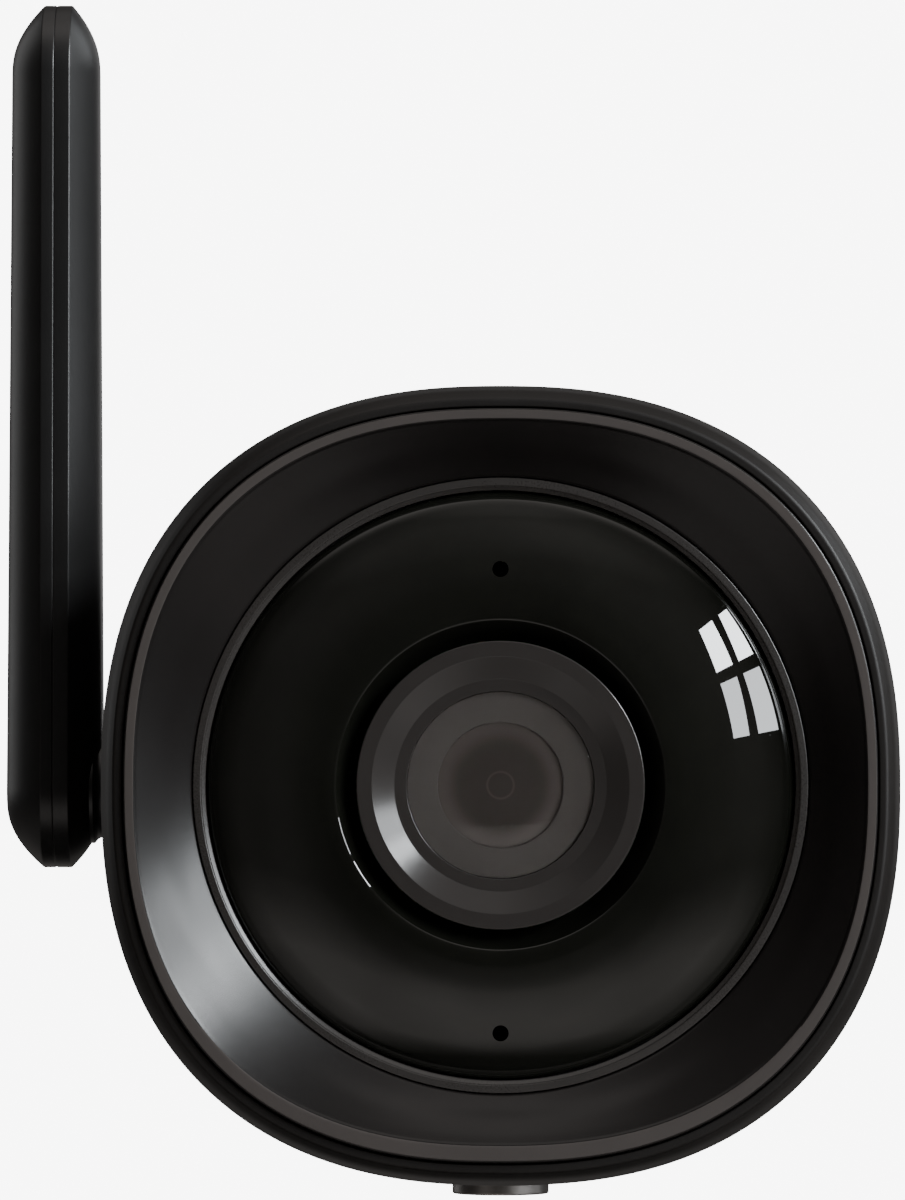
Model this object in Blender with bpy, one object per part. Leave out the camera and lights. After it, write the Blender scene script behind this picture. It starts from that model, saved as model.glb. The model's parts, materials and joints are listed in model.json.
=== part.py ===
"""A wireless security camera: a rounded-square bullet housing with a hooded lens, a paddle antenna that
swings on its left side, and a threaded metal socket underneath.

+Z is up and the lens looks along -Y. The origin is the centre of the socket's lower face.
Every length below is in millimetres. MM turns it into metres when a mesh is made.
A place is written (x, depth, height): depth runs back from the front face, and height up from the lens axis.
"""

import math

import bmesh
import bpy
from mathutils import Vector

MM = 0.001

# Driving dimensions
LENS_HEIGHT = 40.9  # lens axis above the socket's lower face
MOUNT_DEPTH = 50.0  # socket axis behind the front face
SQUARENESS = 2.385  # exponent of the housing's superellipse: 2 is a circle
WALL = 2.3
GAP = 0.3
AROUND = 40  # sides of the large rings
BARREL_SIDES = 24
SMALL_SIDES = 16

# Housing, outside: half width and depth of each station, front to back
HOUSING_STATIONS = [
    (36.4, 0.6),
    (37.2, 2.4),
    (37.75, 5.5),
    (38.0, 10.0),
    (37.95, 22.0),
    (37.6, 40.0),
    (37.0, 60.0),
    (35.9, 79.0),
    (33.75, 97.4),
]
BEZEL_HALF = 35.4
BEZEL_LENGTH = 15.0

# Front cover: a ring-shaped dome round the lens
COVER_RADIUS = 27.65
COVER_HOLE = 13.95
COVER_WALL = 1.5
COVER_CREST = [(26.6, 3.45), (24.6, 2.55), (22.2, 1.65), (19.6, 0.95), (17.4, 0.55), (16.2, 0.45), (15.1, 0.7)]
PINHOLE_RADIUS = 0.75
UPPER_PINHOLE = 20.3
LOWER_PINHOLE = -23.3

# Lens stack
SHROUD_RADIUS = 13.55
WINDOW_RADIUS = 8.75
THREAD_RADIUS = 6.0
FILTER_PITCH = 6.5

# Antenna: a paddle whose lower end is round about its pivot
PIVOT_DEPTH = 72.0
PIVOT_HEIGHT = -0.4
PADDLE_X = -46.0  # plane where its two half shells meet
PADDLE_LOW_RADIUS = 8.1
PADDLE_TIP_RADIUS = 7.4
PADDLE_SPAN = 73.75  # between the centres of its two round ends
PADDLE_EDGE = 1.35  # half the width of the flat edge
PADDLE_CROWN = 6.5  # how far in from the edge the crowned face reaches
PADDLE_HALF_LOW = 5.0
PADDLE_HALF_TIP = 4.5
LAND_X = -41.9
KNUCKLE_RADIUS = 5.0
KNUCKLE_END_X = -33.4
SHAFT_RADIUS = 2.5

# Mount socket: a quarter-inch camera thread in a round insert
INSERT_RADIUS = 4.85
INSERT_LENGTH = 13.0
INSERT_BORE = 3.2
INSERT_BORE_DEPTH = 10.0

# Card door under the housing
DOOR_HALF_WIDTH = 9.0
DOOR_FRONT = 65.0
DOOR_BACK = 80.3
HINGE_DEPTH = 82.0
HINGE_HEIGHT = -35.45
HINGE_RADIUS = 1.3
HINGE_PIN_RADIUS = 0.5

# Rear end
BOARD_DEPTH = 74.0
BOARD_THICKNESS = 1.6
CAP_FLANGE_DEPTH = 98.9
REAR_DEPTH = 110.0
SCREW_OFFSET = 18.2
SCREW_RADIUS = 1.2
POST_RADIUS = 3.0
INLET_HEIGHT = -11.0
SPEAKER_HEIGHT = 9.5
SPEAKER_RADIUS = 9.5

# Finish of each kind of surface: colour, roughness, metallic
FINISHES = {
    "housing_plastic": ((0.012, 0.011, 0.010), 0.35, 0.0),
    "bezel_plastic": ((0.020, 0.018, 0.016), 0.32, 0.0),
    "cover_plastic": ((0.004, 0.004, 0.005), 0.04, 0.0),
    "lens_plastic": ((0.015, 0.014, 0.013), 0.30, 0.0),
    "glass": ((0.050, 0.055, 0.075), 0.03, 0.0),
    "rubber": ((0.020, 0.020, 0.020), 0.80, 0.0),
    "circuit_board": ((0.010, 0.100, 0.045), 0.45, 0.0),
    "component": ((0.020, 0.020, 0.022), 0.40, 0.0),
    "white_plastic": ((0.550, 0.530, 0.480), 0.50, 0.0),
    "led_resin": ((0.250, 0.080, 0.120), 0.10, 0.0),
    "steel": ((0.550, 0.550, 0.560), 0.30, 1.0),
    "brass": ((0.700, 0.480, 0.220), 0.30, 1.0),
    "aluminium": ((0.600, 0.600, 0.610), 0.35, 1.0),
    "copper": ((0.720, 0.380, 0.230), 0.35, 1.0),
}

X, Y, Z = Vector((1, 0, 0)), Vector((0, 1, 0)), Vector((0, 0, 1))


def point(x, depth, height):
    """World position, in millimetres, of a place given from the lens axis and the front face."""
    return Vector((x, depth - MOUNT_DEPTH, height + LENS_HEIGHT))


def lens_axis(x=0.0, height=0.0):
    """An axis that runs back from the front face, as (start, across, up, along)."""
    return point(x, 0, height), X, Z, Y


def cross_axis(depth, height):
    """An axis along X. Positions along it are world x."""
    return point(0, depth, height), Y, Z, X


def upright_axis(x, depth):
    """An axis along Z. Positions along it are world z."""
    start = point(x, depth, 0)
    start.z = 0
    return start, X, Y, Z


PIVOT_AXIS = cross_axis(PIVOT_DEPTH, PIVOT_HEIGHT)
HINGE_AXIS = cross_axis(HINGE_DEPTH, HINGE_HEIGHT)
MOUNT_AXIS = upright_axis(0, MOUNT_DEPTH)


def clear_scene():
    for obj in list(bpy.data.objects):
        bpy.data.objects.remove(obj, do_unlink=True)


def dress(obj, finish):
    """Give the object its own Principled material."""
    colour, roughness, metallic = FINISHES[finish]
    material = bpy.data.materials.new(obj.name)
    material.use_nodes = True
    shader = material.node_tree.nodes["Principled BSDF"]
    shader.inputs["Base Color"].default_value = (*colour, 1.0)
    shader.inputs["Roughness"].default_value = roughness
    shader.inputs["Metallic"].default_value = metallic
    obj.data.materials.append(material)


def make_object(name, bm, finish, origin=None, smooth=True):
    """Turn a closed bmesh in millimetres into an object whose origin is at the given place."""
    bmesh.ops.recalc_face_normals(bm, faces=bm.faces)
    origin = Vector((0, 0, 0)) if origin is None else origin
    bmesh.ops.translate(bm, verts=bm.verts, vec=-origin)
    bmesh.ops.scale(bm, verts=bm.verts, vec=(MM, MM, MM))
    mesh = bpy.data.meshes.new(name)
    bm.to_mesh(mesh)
    bm.free()
    if smooth:
        mesh.shade_smooth()
        mesh.set_sharp_from_angle(angle=math.radians(30))
    obj = bpy.data.objects.new(name, mesh)
    obj.location = origin * MM
    bpy.context.scene.collection.objects.link(obj)
    if finish:
        dress(obj, finish)
    else:
        obj.hide_render = True
        obj.display_type = "WIRE"
    return obj


def ring_points(axis, half, along, power, low, sides):
    """A superellipse round an axis. Its lower half may be a little shallower than its upper half."""
    start, across, up, forward = axis
    points = []
    for step in range(sides):
        angle = 2 * math.pi * step / sides
        cos, sin = math.cos(angle), math.sin(angle)
        reach = half / (abs(cos) ** power + abs(sin) ** power) ** (1 / power)
        tall = low / half if low and sin < 0 else 1.0
        points.append(start + across * (reach * cos) + up * (reach * sin * tall) + forward * along)
    return points


def squared(half, along, low=None):
    return half, along, SQUARENESS, low


def squared_all(pairs):
    return [squared(half, along) for half, along in pairs]


def bridge(bm, first, second):
    for i in range(len(first)):
        j = (i + 1) % len(first)
        bm.faces.new((first[i], first[j], second[j], second[i]))


def loft(name, axis, loops, finish, sides=AROUND, solid=False, origin=None):
    """Join loops of (half width, position) or (half width, position, power, low half) along an axis.
    A solid loft is closed by a flat face at each end. Otherwise the last loop joins the first, as a ring."""
    bm = bmesh.new()
    rings = []
    for half, along, *shape in loops:
        power, low = shape or (2.0, None)
        places = ring_points(axis, half, along, power, low, sides)
        rings.append([bm.verts.new(place) for place in places])
    for first, second in zip(rings, rings[1:]):
        bridge(bm, first, second)
    if solid:
        bm.faces.new(rings[0])
        bm.faces.new(rings[-1])
    else:
        bridge(bm, rings[-1], rings[0])
    return make_object(name, bm, finish, origin)


def rod(name, axis, radius, start, end, finish=None, sides=SMALL_SIDES, origin=None):
    return loft(name, axis, [(radius, start), (radius, end)], finish, sides, solid=True, origin=origin)


def prism(name, outline, start, end, finish=None, origin=None):
    """Extrude a closed outline, a list of places, by moving a copy of it from start to end."""
    bm = bmesh.new()
    first = [bm.verts.new(place + start) for place in outline]
    second = [bm.verts.new(place + end) for place in outline]
    bridge(bm, first, second)
    bm.faces.new(first)
    bm.faces.new(second)
    return make_object(name, bm, finish, origin, smooth=False)


def block(name, low, high, finish=None, origin=None):
    """A box between two (x, depth, height) corners."""
    a, b = point(*low), point(*high)
    outline = [Vector((x, y, 0)) for x, y in ((a.x, a.y), (b.x, a.y), (b.x, b.y), (a.x, b.y))]
    return prism(name, outline, Z * a.z, Z * b.z, finish, origin)


def combine(target, tool, operation):
    modifier = target.modifiers.new(tool.name, "BOOLEAN")
    modifier.operation = operation
    modifier.object = tool
    modifier.solver = "EXACT"


def add(target, tool):
    combine(target, tool, "UNION")


def cut(target, tool):
    combine(target, tool, "DIFFERENCE")


def keep(target, tool):
    combine(target, tool, "INTERSECT")


def housing_half(depth):
    """Half width of the housing's outside at a depth."""
    for (half_a, a), (half_b, b) in zip(HOUSING_STATIONS, HOUSING_STATIONS[1:]):
        if a <= depth <= b:
            return half_a + (half_b - half_a) * (depth - a) / (b - a)
    return HOUSING_STATIONS[0][0]


def housing_loops():
    """The housing's skin: its outside from front to back, then its inside from back to front."""
    inside = [(housing_half(depth) - WALL, depth) for _, depth in reversed(HOUSING_STATIONS[4:])]
    seat = BEZEL_HALF + GAP
    return squared_all(HOUSING_STATIONS + inside + [(seat, BEZEL_LENGTH + 2), (seat, 0.6)])


def screw_places():
    return [(x, z) for x in (-SCREW_OFFSET, SCREW_OFFSET) for z in (-SCREW_OFFSET, SCREW_OFFSET)]


def main_housing():
    housing = loft("main_housing", lens_axis(), housing_loops(), "housing_plastic")
    add(housing, rod("pivot_boss", PIVOT_AXIS, 6.4, -38.2, -30.8, sides=BARREL_SIDES))
    add(housing, rod("socket_boss", MOUNT_AXIS, 8.0, 3.2, 15.5, sides=BARREL_SIDES))
    for number, (x, z) in enumerate(screw_places(), 1):
        add(housing, screw_post(f"post_{number}", x, z))
        cut(housing, rod(f"post_bore_{number}", lens_axis(x, z), SCREW_RADIUS + GAP, 85.0, 95.0))
    for side in (-1, 1):
        ends = sorted((side * 4.3, side * 7.3))
        add(housing, rod(f"hinge_ear{side:+d}", HINGE_AXIS, HINGE_RADIUS, *ends))
    cut(housing, rod("knuckle_bore", PIVOT_AXIS, KNUCKLE_RADIUS + GAP, -45.0, -33.1, sides=BARREL_SIDES))
    cut(housing, rod("shaft_bore", PIVOT_AXIS, SHAFT_RADIUS + GAP, -45.0, -25.0))
    cut(housing, rod("insert_bore", MOUNT_AXIS, INSERT_RADIUS + GAP, -1.0, INSERT_LENGTH + GAP, sides=BARREL_SIDES))
    opening_half = DOOR_HALF_WIDTH + GAP
    cut(housing, block("door_opening", (-opening_half, DOOR_FRONT - GAP, -45), (opening_half, DOOR_BACK + GAP, -30)))
    cut(housing, block("hinge_notch", (-4.3, DOOR_BACK - 1, -45), (4.3, HINGE_DEPTH + HINGE_RADIUS + GAP, -30)))
    cut(housing, rod("hinge_pin_bore", HINGE_AXIS, HINGE_PIN_RADIUS + GAP, -8.0, 8.0))


def screw_post(name, x, z):
    """A post for a rear screw, drawn out along the diagonal into the housing's corner."""
    outward = Vector((math.copysign(1, x), 0, math.copysign(1, z))).normalized()
    sideways = Vector((-outward.z, 0, outward.x))
    centre = point(x, 0, z)
    outline = []
    for shift, first in ((7.6, -90), (0.0, 90)):
        for step in range(9):
            angle = math.radians(first + 22.5 * step)
            arm = outward * (shift + POST_RADIUS * math.cos(angle)) + sideways * (POST_RADIUS * math.sin(angle))
            outline.append(centre + arm)
    return prism(name, outline, Y * 83.0, Y * 91.4)


def front_bezel():
    """The flat rim, the funnel-shaped hood inside it, and the seat that carries the front cover."""
    loops = [
        squared(BEZEL_HALF, 0.0),
        squared(34.4, 0.0, 33.75),
        (33.0, 0.9, 2.3, 32.5),
        (31.0, 2.25, 2.15, None),
        (29.3, 3.6),
        (29.3, 8.0),
        (26.3, 8.0),
        (26.3, 9.5),
        (30.8, 9.5),
        (30.8, 5.7),
        squared(33.9, 3.0),
        squared(33.9, BEZEL_LENGTH),
        squared(BEZEL_HALF, BEZEL_LENGTH),
    ]
    loft("front_bezel", lens_axis(), loops, "bezel_plastic")


def cover_ring():
    loops = [(29.0, 3.8), (28.6, 3.4), (28.15, 3.5), (27.95, 3.9), (27.95, 6.3), (29.0, 6.3)]
    loft("cover_ring", lens_axis(), loops, "bezel_plastic")


def front_cover():
    inside = [(radius - 0.25, depth + COVER_WALL) for radius, depth in reversed(COVER_CREST[1:-1])]
    neck = [(14.3, 1.5), (COVER_HOLE, 2.7), (COVER_HOLE, 5.6), (COVER_HOLE + 1.2, 5.6), (COVER_HOLE + 1.4, 2.9)]
    flange = [(26.2, 6.3), (COVER_RADIUS, 6.3)]
    loops = [(COVER_RADIUS, 4.1)] + COVER_CREST + neck + inside + flange
    cover = loft("front_cover", lens_axis(), loops, "cover_plastic")
    for name, height in (("upper_pinhole", UPPER_PINHOLE), ("lower_pinhole", LOWER_PINHOLE)):
        cut(cover, rod(name, lens_axis(height=height), PINHOLE_RADIUS, 0.0, 12.0, sides=16))


def front_gasket():
    loft("front_gasket", lens_axis(), [(28.8, 6.6), (28.8, 7.7), (26.8, 7.7), (26.8, 6.6)], "rubber")


def lens_bezel():
    """The shroud that keeps infrared light out of the lens. Its mouth is a dished ring."""
    loops = [
        (SHROUD_RADIUS, 0.8),
        (SHROUD_RADIUS - 0.3, 0.5),
        (12.15, 0.5),
        (11.5, 1.05),
        (10.85, 1.5),
        (10.05, 1.9),
        (9.05, 1.9),
        (9.05, 3.9),
        (7.7, 3.9),
        (7.7, 5.7),
        (11.6, 6.7),
        (11.6, 16.1),
        (SHROUD_RADIUS, 16.1),
    ]
    loft("lens_bezel", lens_axis(), loops, "lens_plastic", BARREL_SIDES)


def lens_stack():
    """Window, threaded barrel with its two lenses, lock ring and holder, all about the lens axis."""
    axis = lens_axis()
    window = [(WINDOW_RADIUS, 2.3), (WINDOW_RADIUS, 3.6)]
    loft("lens_window", axis, window, "glass", BARREL_SIDES, solid=True)
    neck = [(7.0, 5.1), (7.0, 9.9), (THREAD_RADIUS, 9.9), (THREAD_RADIUS, 17.8)]
    barrel = neck + [(4.6, 17.8), (4.6, 7.0), (6.0, 7.0), (6.0, 5.1)]
    loft("lens_barrel", axis, barrel, "lens_plastic", BARREL_SIDES)
    front = [(1.6, 4.15), (3.4, 4.4), (4.8, 4.85), (5.7, 5.4), (5.7, 6.7)]
    loft("front_lens", axis, front, "glass", BARREL_SIDES, solid=True)
    rear = [(2.0, 12.7), (4.3, 13.4), (4.3, 15.7), (2.0, 16.4)]
    loft("rear_lens", axis, rear, "glass", BARREL_SIDES, solid=True)
    lock = [(6.3, 10.4), (9.4, 10.4), (9.4, 11.9), (6.3, 11.9)]
    loft("focus_lock_ring", axis, lock, "brass", BARREL_SIDES)
    holder = [(6.3, 12.3), (8.4, 12.3), (8.4, 16.4), (13.2, 16.4), (13.2, 18.0), (6.3, 18.0)]
    loft("lens_holder", axis, holder, "lens_plastic", BARREL_SIDES)


def filter_unit():
    """The infrared filter switcher: a slide that swaps two small glasses in front of the sensor."""
    case = block("filter_housing", (-11.8, 18.3, -8.5), (11.8, 23.5, 8.5), "component")
    cut(case, block("slide_pocket", (-10.9, 19.3, -6.6), (10.9, 22.5, 6.6)))
    cut(case, rod("light_aperture", lens_axis(), 4.6, 17.0, 25.0))
    block("filter_motor", (-5.0, 18.5, 8.8), (5.0, 23.3, 13.4), "copper")
    home = point(0, 20.9, 0)
    carrier = block("filter_carrier", (-3.9, 20.0, -5.5), (FILTER_PITCH + 3.9, 21.8, 5.5), "component", home)
    for name, x in (("ir_cut_filter", 0.0), ("clear_filter", FILTER_PITCH)):
        cut(carrier, block(f"{name}_seat", (x - 2.7, 18.0, -4.0), (x + 2.7, 24.0, 4.0)))
        block(name, (x - 2.4, 20.5, -3.7), (x + 2.4, 21.3, 3.7), "glass", home)


def sensor_group():
    block("image_sensor", (-4.5, 24.0, -3.6), (4.5, 25.0, 3.6), "component")
    block("sensor_board", (-19, 25.3, -19), (19, 26.5, 19), "circuit_board")
    frame = loft("inner_frame", lens_axis(), squared_all([(35.3, 27.1), (35.3, 29.3)]), "aluminium", solid=True)
    cut(frame, block("frame_window", (-14, 22, -12), (14, 34, 12)))
    for number, (x, z) in enumerate(((-18, -16), (-18, 16), (18, -16), (18, 16)), 1):
        rod(f"board_standoff_{number}", lens_axis(x, z), 2.4, 29.6, BOARD_DEPTH - GAP, "brass", sides=6)


def infrared_ring():
    """The board behind the front cover, with its lamps, light sensor and microphone."""
    board = [(15.6, 10.1), (26.0, 10.1), (26.0, 11.5), (15.6, 11.5)]
    loft("ir_led_board", lens_axis(), board, "circuit_board", BARREL_SIDES)
    dome = [(0.7, 5.7), (1.35, 6.1), (1.75, 7.0), (1.75, 9.1), (2.1, 9.1), (2.1, 9.8)]
    for number in range(4):
        angle = math.radians(45 + 90 * number)
        axis = lens_axis(21.0 * math.cos(angle), 21.0 * math.sin(angle))
        loft(f"ir_led_{number + 1}", axis, dome, "led_resin", 12, solid=True)
    rod("light_sensor", lens_axis(height=LOWER_PINHOLE), 1.8, 7.3, 9.8, "component", 16)
    upper = lens_axis(height=UPPER_PINHOLE)
    rod("microphone", upper, 2.0, 6.7, 9.8, "component", 16)
    loft("mic_boot", upper, [(1.1, 3.4), (1.9, 3.4), (2.1, 6.4), (1.1, 6.4)], "rubber", 16)


def main_electronics():
    front, back = BOARD_DEPTH, BOARD_DEPTH + BOARD_THICKNESS
    block("main_board", (-22, front, -25.9), (22, back, 21.1), "circuit_board")
    block("processor", (-7, back + GAP, -3), (7, back + 1.7, 11), "component")
    spreader = block("heat_spreader", (-9, back + 2.0, -5), (9, back + 8.0, 13), "aluminium")
    for number in range(4):
        x = -6.0 + 4.0 * number
        cut(spreader, block(f"fin_gap_{number}", (x - 1.1, back + 4.0, -8), (x + 1.1, back + 12, 16)))
    block("wifi_module", (-20, front - 2.5, -5), (-8, front - GAP, 11), "steel")
    socket = block("card_socket", (-7, front - 2.9, -26.9), (7, front - GAP, -11.4), "steel")
    cut(socket, block("card_slot", (-5.8, front - 1.9, -30), (5.8, front - 0.6, -12.0)))
    switch = block("reset_switch", (4, back + GAP, -24.9), (8, back + 4.0, -20.9), "component")
    cut(switch, rod("switch_bore", upright_axis(6, back + 2.1), 1.5, 10.0, 18.0))


def card_and_button():
    """The memory card and the reset button, both reached through the door under the housing."""
    low, high = (-5.5, BOARD_DEPTH - 1.6, -28.4), (5.5, BOARD_DEPTH - 0.9, -13.4)
    block("memory_card", low, high, "component", point(0, BOARD_DEPTH - 1.25, -28.4))
    axis = upright_axis(6, BOARD_DEPTH + BOARD_THICKNESS + 2.1)
    rod("reset_button", axis, 1.2, 11.5, 16.6, "white_plastic", 16, axis[0] + Z * 11.5)


def ribbon_cable():
    """A flat cable from the sensor board to the main board, with one slack wave."""
    bm = bmesh.new()
    steps, half_width, half_thick = 14, 4.5, 0.18
    start, end = 27.3, BOARD_DEPTH - GAP
    loops = []
    for step in range(steps + 1):
        share = step / steps
        depth = start + (end - start) * share
        height = 2.0 + 6.0 * share + 3.0 * math.sin(2 * math.pi * share)
        corners = ((-1, -1), (1, -1), (1, 1), (-1, 1))
        places = [point(5 + a * half_width, depth, height + b * half_thick) for a, b in corners]
        loops.append([bm.verts.new(place) for place in places])
    for first, second in zip(loops, loops[1:]):
        bridge(bm, first, second)
    bm.faces.new(loops[0])
    bm.faces.new(loops[-1])
    make_object("ribbon_cable", bm, "white_plastic")


def coax_lead():
    """The aerial lead, from the radio module into the hollow pivot shaft."""
    ends = [point(-14, BOARD_DEPTH - 2.8, 7), point(-30, PIVOT_DEPTH, PIVOT_HEIGHT)]
    pulls = [point(-14, 60, 7), point(-22, PIVOT_DEPTH, PIVOT_HEIGHT)]
    curve = bpy.data.curves.new("coax_lead", "CURVE")
    curve.dimensions = "3D"
    curve.bevel_depth = 0.55 * MM
    curve.bevel_resolution = 2
    curve.use_fill_caps = True
    spline = curve.splines.new("POLY")
    count = 22
    spline.points.add(count - 1)
    for index in range(count):
        t = index / (count - 1)
        weights = ((1 - t) ** 3, 3 * t * (1 - t) ** 2, 3 * t * t * (1 - t), t**3)
        controls = (ends[0], pulls[0], pulls[1], ends[1])
        place = sum((c * w for c, w in zip(controls, weights)), Vector((0, 0, 0)))
        spline.points[index].co = (*(place * MM), 1)
    obj = bpy.data.objects.new("coax_lead", curve)
    bpy.context.scene.collection.objects.link(obj)
    dress(obj, "component")


def rear_cap():
    """The cap that closes the back, with screw columns, speaker slots and the power inlet's recess."""
    flange = CAP_FLANGE_DEPTH
    loops = squared_all([
        (27.0, REAR_DEPTH),
        (29.6, REAR_DEPTH - 0.7),
        (31.8, REAR_DEPTH - 2.8),
        (33.0, REAR_DEPTH - 6.0),
        (33.6, flange),
        (30.9, flange),
        (30.9, 92.0),
        (28.7, 92.0),
        (28.7, 102.0),
        (26.5, 106.0),
        (22.0, 107.4),
    ])
    cap = loft("rear_cap", lens_axis(), loops, "housing_plastic", solid=True)
    add(cap, rod("inlet_cup", lens_axis(height=INLET_HEIGHT), 8.2, 100.0, 108.5, sides=BARREL_SIDES))
    for number, (x, z) in enumerate(screw_places(), 1):
        axis = lens_axis(x, z)
        add(cap, rod(f"screw_column_{number}", axis, POST_RADIUS + 0.2, 91.8, 108.5))
        cut(cap, rod(f"screw_bore_{number}", axis, SCREW_RADIUS + GAP, 90.0, 112.0))
        cut(cap, rod(f"screw_recess_{number}", axis, 2.8, REAR_DEPTH - 2.2, REAR_DEPTH + 2))
    cut(cap, rod("inlet_recess", lens_axis(height=INLET_HEIGHT), 6.6, 102.3, 112.0, sides=BARREL_SIDES))
    cut(cap, rod("inlet_hole", lens_axis(height=INLET_HEIGHT), 4.3, 98.0, 104.0, sides=BARREL_SIDES))
    for number in range(5):
        x = 3.2 * (number - 2)
        reach = 4.5 - 0.7 * abs(number - 2)
        low = (x - 0.6, 104, SPEAKER_HEIGHT - reach)
        cut(cap, block(f"speaker_slot_{number}", low, (x + 0.6, 112, SPEAKER_HEIGHT + reach)))


def rear_fittings():
    gasket = squared_all([(32.9, 97.7), (32.9, 98.6), (31.25, 98.6), (31.25, 97.7)])
    loft("rear_gasket", lens_axis(), gasket, "rubber")
    head = REAR_DEPTH - 0.4
    for number, (x, z) in enumerate(screw_places(), 1):
        loops = [(2.5, head), (2.5, head - 1.5), (SCREW_RADIUS, head - 1.5), (SCREW_RADIUS, 86.0)]
        loft(f"rear_screw_{number}", lens_axis(x, z), loops, "steel", 16, solid=True)
    axis = lens_axis(height=INLET_HEIGHT)
    jack = [(1.0, 102.0), (1.0, 94.5), (2.9, 94.5), (2.9, 103.0), (4.0, 103.0), (4.0, 99.5), (5.6, 99.5), (5.6, 92.5)]
    loft("power_socket", axis, jack, "component", SMALL_SIDES, solid=True)
    back = REAR_DEPTH - 4.0
    cone = [(3.0, back - 2.4), (8.3, back - 0.4), (8.8, back), (SPEAKER_RADIUS, back), (SPEAKER_RADIUS, back - 3.2), (6.0, back - 5.0)]
    loft("speaker", lens_axis(height=SPEAKER_HEIGHT), cone, "component", SMALL_SIDES, solid=True)


def mount_insert():
    """A blind threaded socket in a plain round insert."""
    top = INSERT_BORE_DEPTH
    loops = [
        (INSERT_BORE, top),
        (INSERT_BORE, 0.35),
        (INSERT_BORE + 0.35, 0.0),
        (INSERT_RADIUS - 0.25, 0.0),
        (INSERT_RADIUS, 0.25),
        (INSERT_RADIUS, INSERT_LENGTH),
    ]
    loft("mount_insert", MOUNT_AXIS, loops, "aluminium", BARREL_SIDES, solid=True)


def card_door():
    """The door is a piece of the housing's own skin, with a hinge barrel across its back edge."""
    origin = HINGE_AXIS[0]
    door = loft("card_cover", lens_axis(), housing_loops(), "housing_plastic", origin=origin)
    low, high = (-DOOR_HALF_WIDTH, DOOR_FRONT, -45), (DOOR_HALF_WIDTH, DOOR_BACK, -28)
    keep(door, block("door_outline", low, high))
    tab_low, tab_high = (-4.0, DOOR_BACK - 1.0, -35.7), (4.0, HINGE_DEPTH, -34.2)
    add(door, block("hinge_tab", tab_low, tab_high))
    add(door, rod("hinge_barrel", HINGE_AXIS, HINGE_RADIUS, -4.0, 4.0))
    cut(door, rod("barrel_bore", HINGE_AXIS, HINGE_PIN_RADIUS + GAP, -5.0, 5.0))
    rod("hinge_pin", HINGE_AXIS, HINGE_PIN_RADIUS, -7.2, 7.2, "steel", 16)
    skin = [(half - WALL - GAP, depth) for half, depth in HOUSING_STATIONS[4:]]
    lining = [(half - 1.3, depth) for half, depth in reversed(skin)]
    seal = loft("card_seal", lens_axis(), squared_all(skin + lining), "rubber", origin=origin)
    frame = block("seal_outline", (-7.6, DOOR_FRONT + 1.2, -45), (7.6, DOOR_BACK - 1.4, -28))
    cut(frame, block("seal_window", (-6.2, DOOR_FRONT + 2.6, -50), (6.2, DOOR_BACK - 2.8, -20)))
    keep(seal, frame)


def paddle_thickness(inset, height):
    """Half the paddle's thickness at a distance in from its edge and a height above its pivot."""
    share = (height + PADDLE_LOW_RADIUS) / (PADDLE_SPAN + PADDLE_TIP_RADIUS + PADDLE_LOW_RADIUS)
    full = PADDLE_HALF_LOW + (PADDLE_HALF_TIP - PADDLE_HALF_LOW) * share
    rise = 1 - (1 - min(inset / PADDLE_CROWN, 1.0)) ** 2
    return PADDLE_EDGE + (full - PADDLE_EDGE) * rise


def paddle_outline(inset, sides=16):
    """(y, z) points round the paddle, pulled in by inset, about its pivot."""
    lean = math.asin((PADDLE_LOW_RADIUS - PADDLE_TIP_RADIUS) / PADDLE_SPAN)
    arcs = (
        (PADDLE_LOW_RADIUS - inset, 0.0, math.pi - lean, math.pi + 2 * lean),
        (PADDLE_TIP_RADIUS - inset, PADDLE_SPAN, lean, math.pi - 2 * lean),
    )
    points = []
    for radius, height, first, sweep in arcs:
        for step in range(sides + 1):
            angle = first + sweep * step / sides
            points.append((radius * math.cos(angle), height + radius * math.sin(angle)))
    return points


def paddle_shell(name, side, wall):
    """Half of the antenna's case, hollow inside. side is +1 for the half that faces the housing."""
    outer = [(6.5, None), (4.4, None), (3.0, None), (1.8, None), (0.8, None), (0.0, None), (0.0, GAP / 2)]
    inner = [(1.4, GAP / 2), (1.4, None), (2.6, None), (4.2, None), (6.5, None)]
    bm = bmesh.new()
    rings = []
    for loops, sunk in ((outer, 0.0), (inner, wall)):
        for inset, fixed in loops:
            ring = []
            for y, z in paddle_outline(inset):
                offset = paddle_thickness(inset, z) - sunk if fixed is None else fixed
                place = PIVOT_AXIS[0] + Vector((PADDLE_X + side * offset, y, z))
                ring.append(bm.verts.new(place))
            rings.append(ring)
    for first, second in zip(rings, rings[1:]):
        bridge(bm, first, second)
    bm.faces.new(rings[0])
    bm.faces.new(rings[-1])
    return make_object(name, bm, "housing_plastic", pivot_origin())


def pivot_origin():
    return PIVOT_AXIS[0] + X * PADDLE_X


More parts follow.
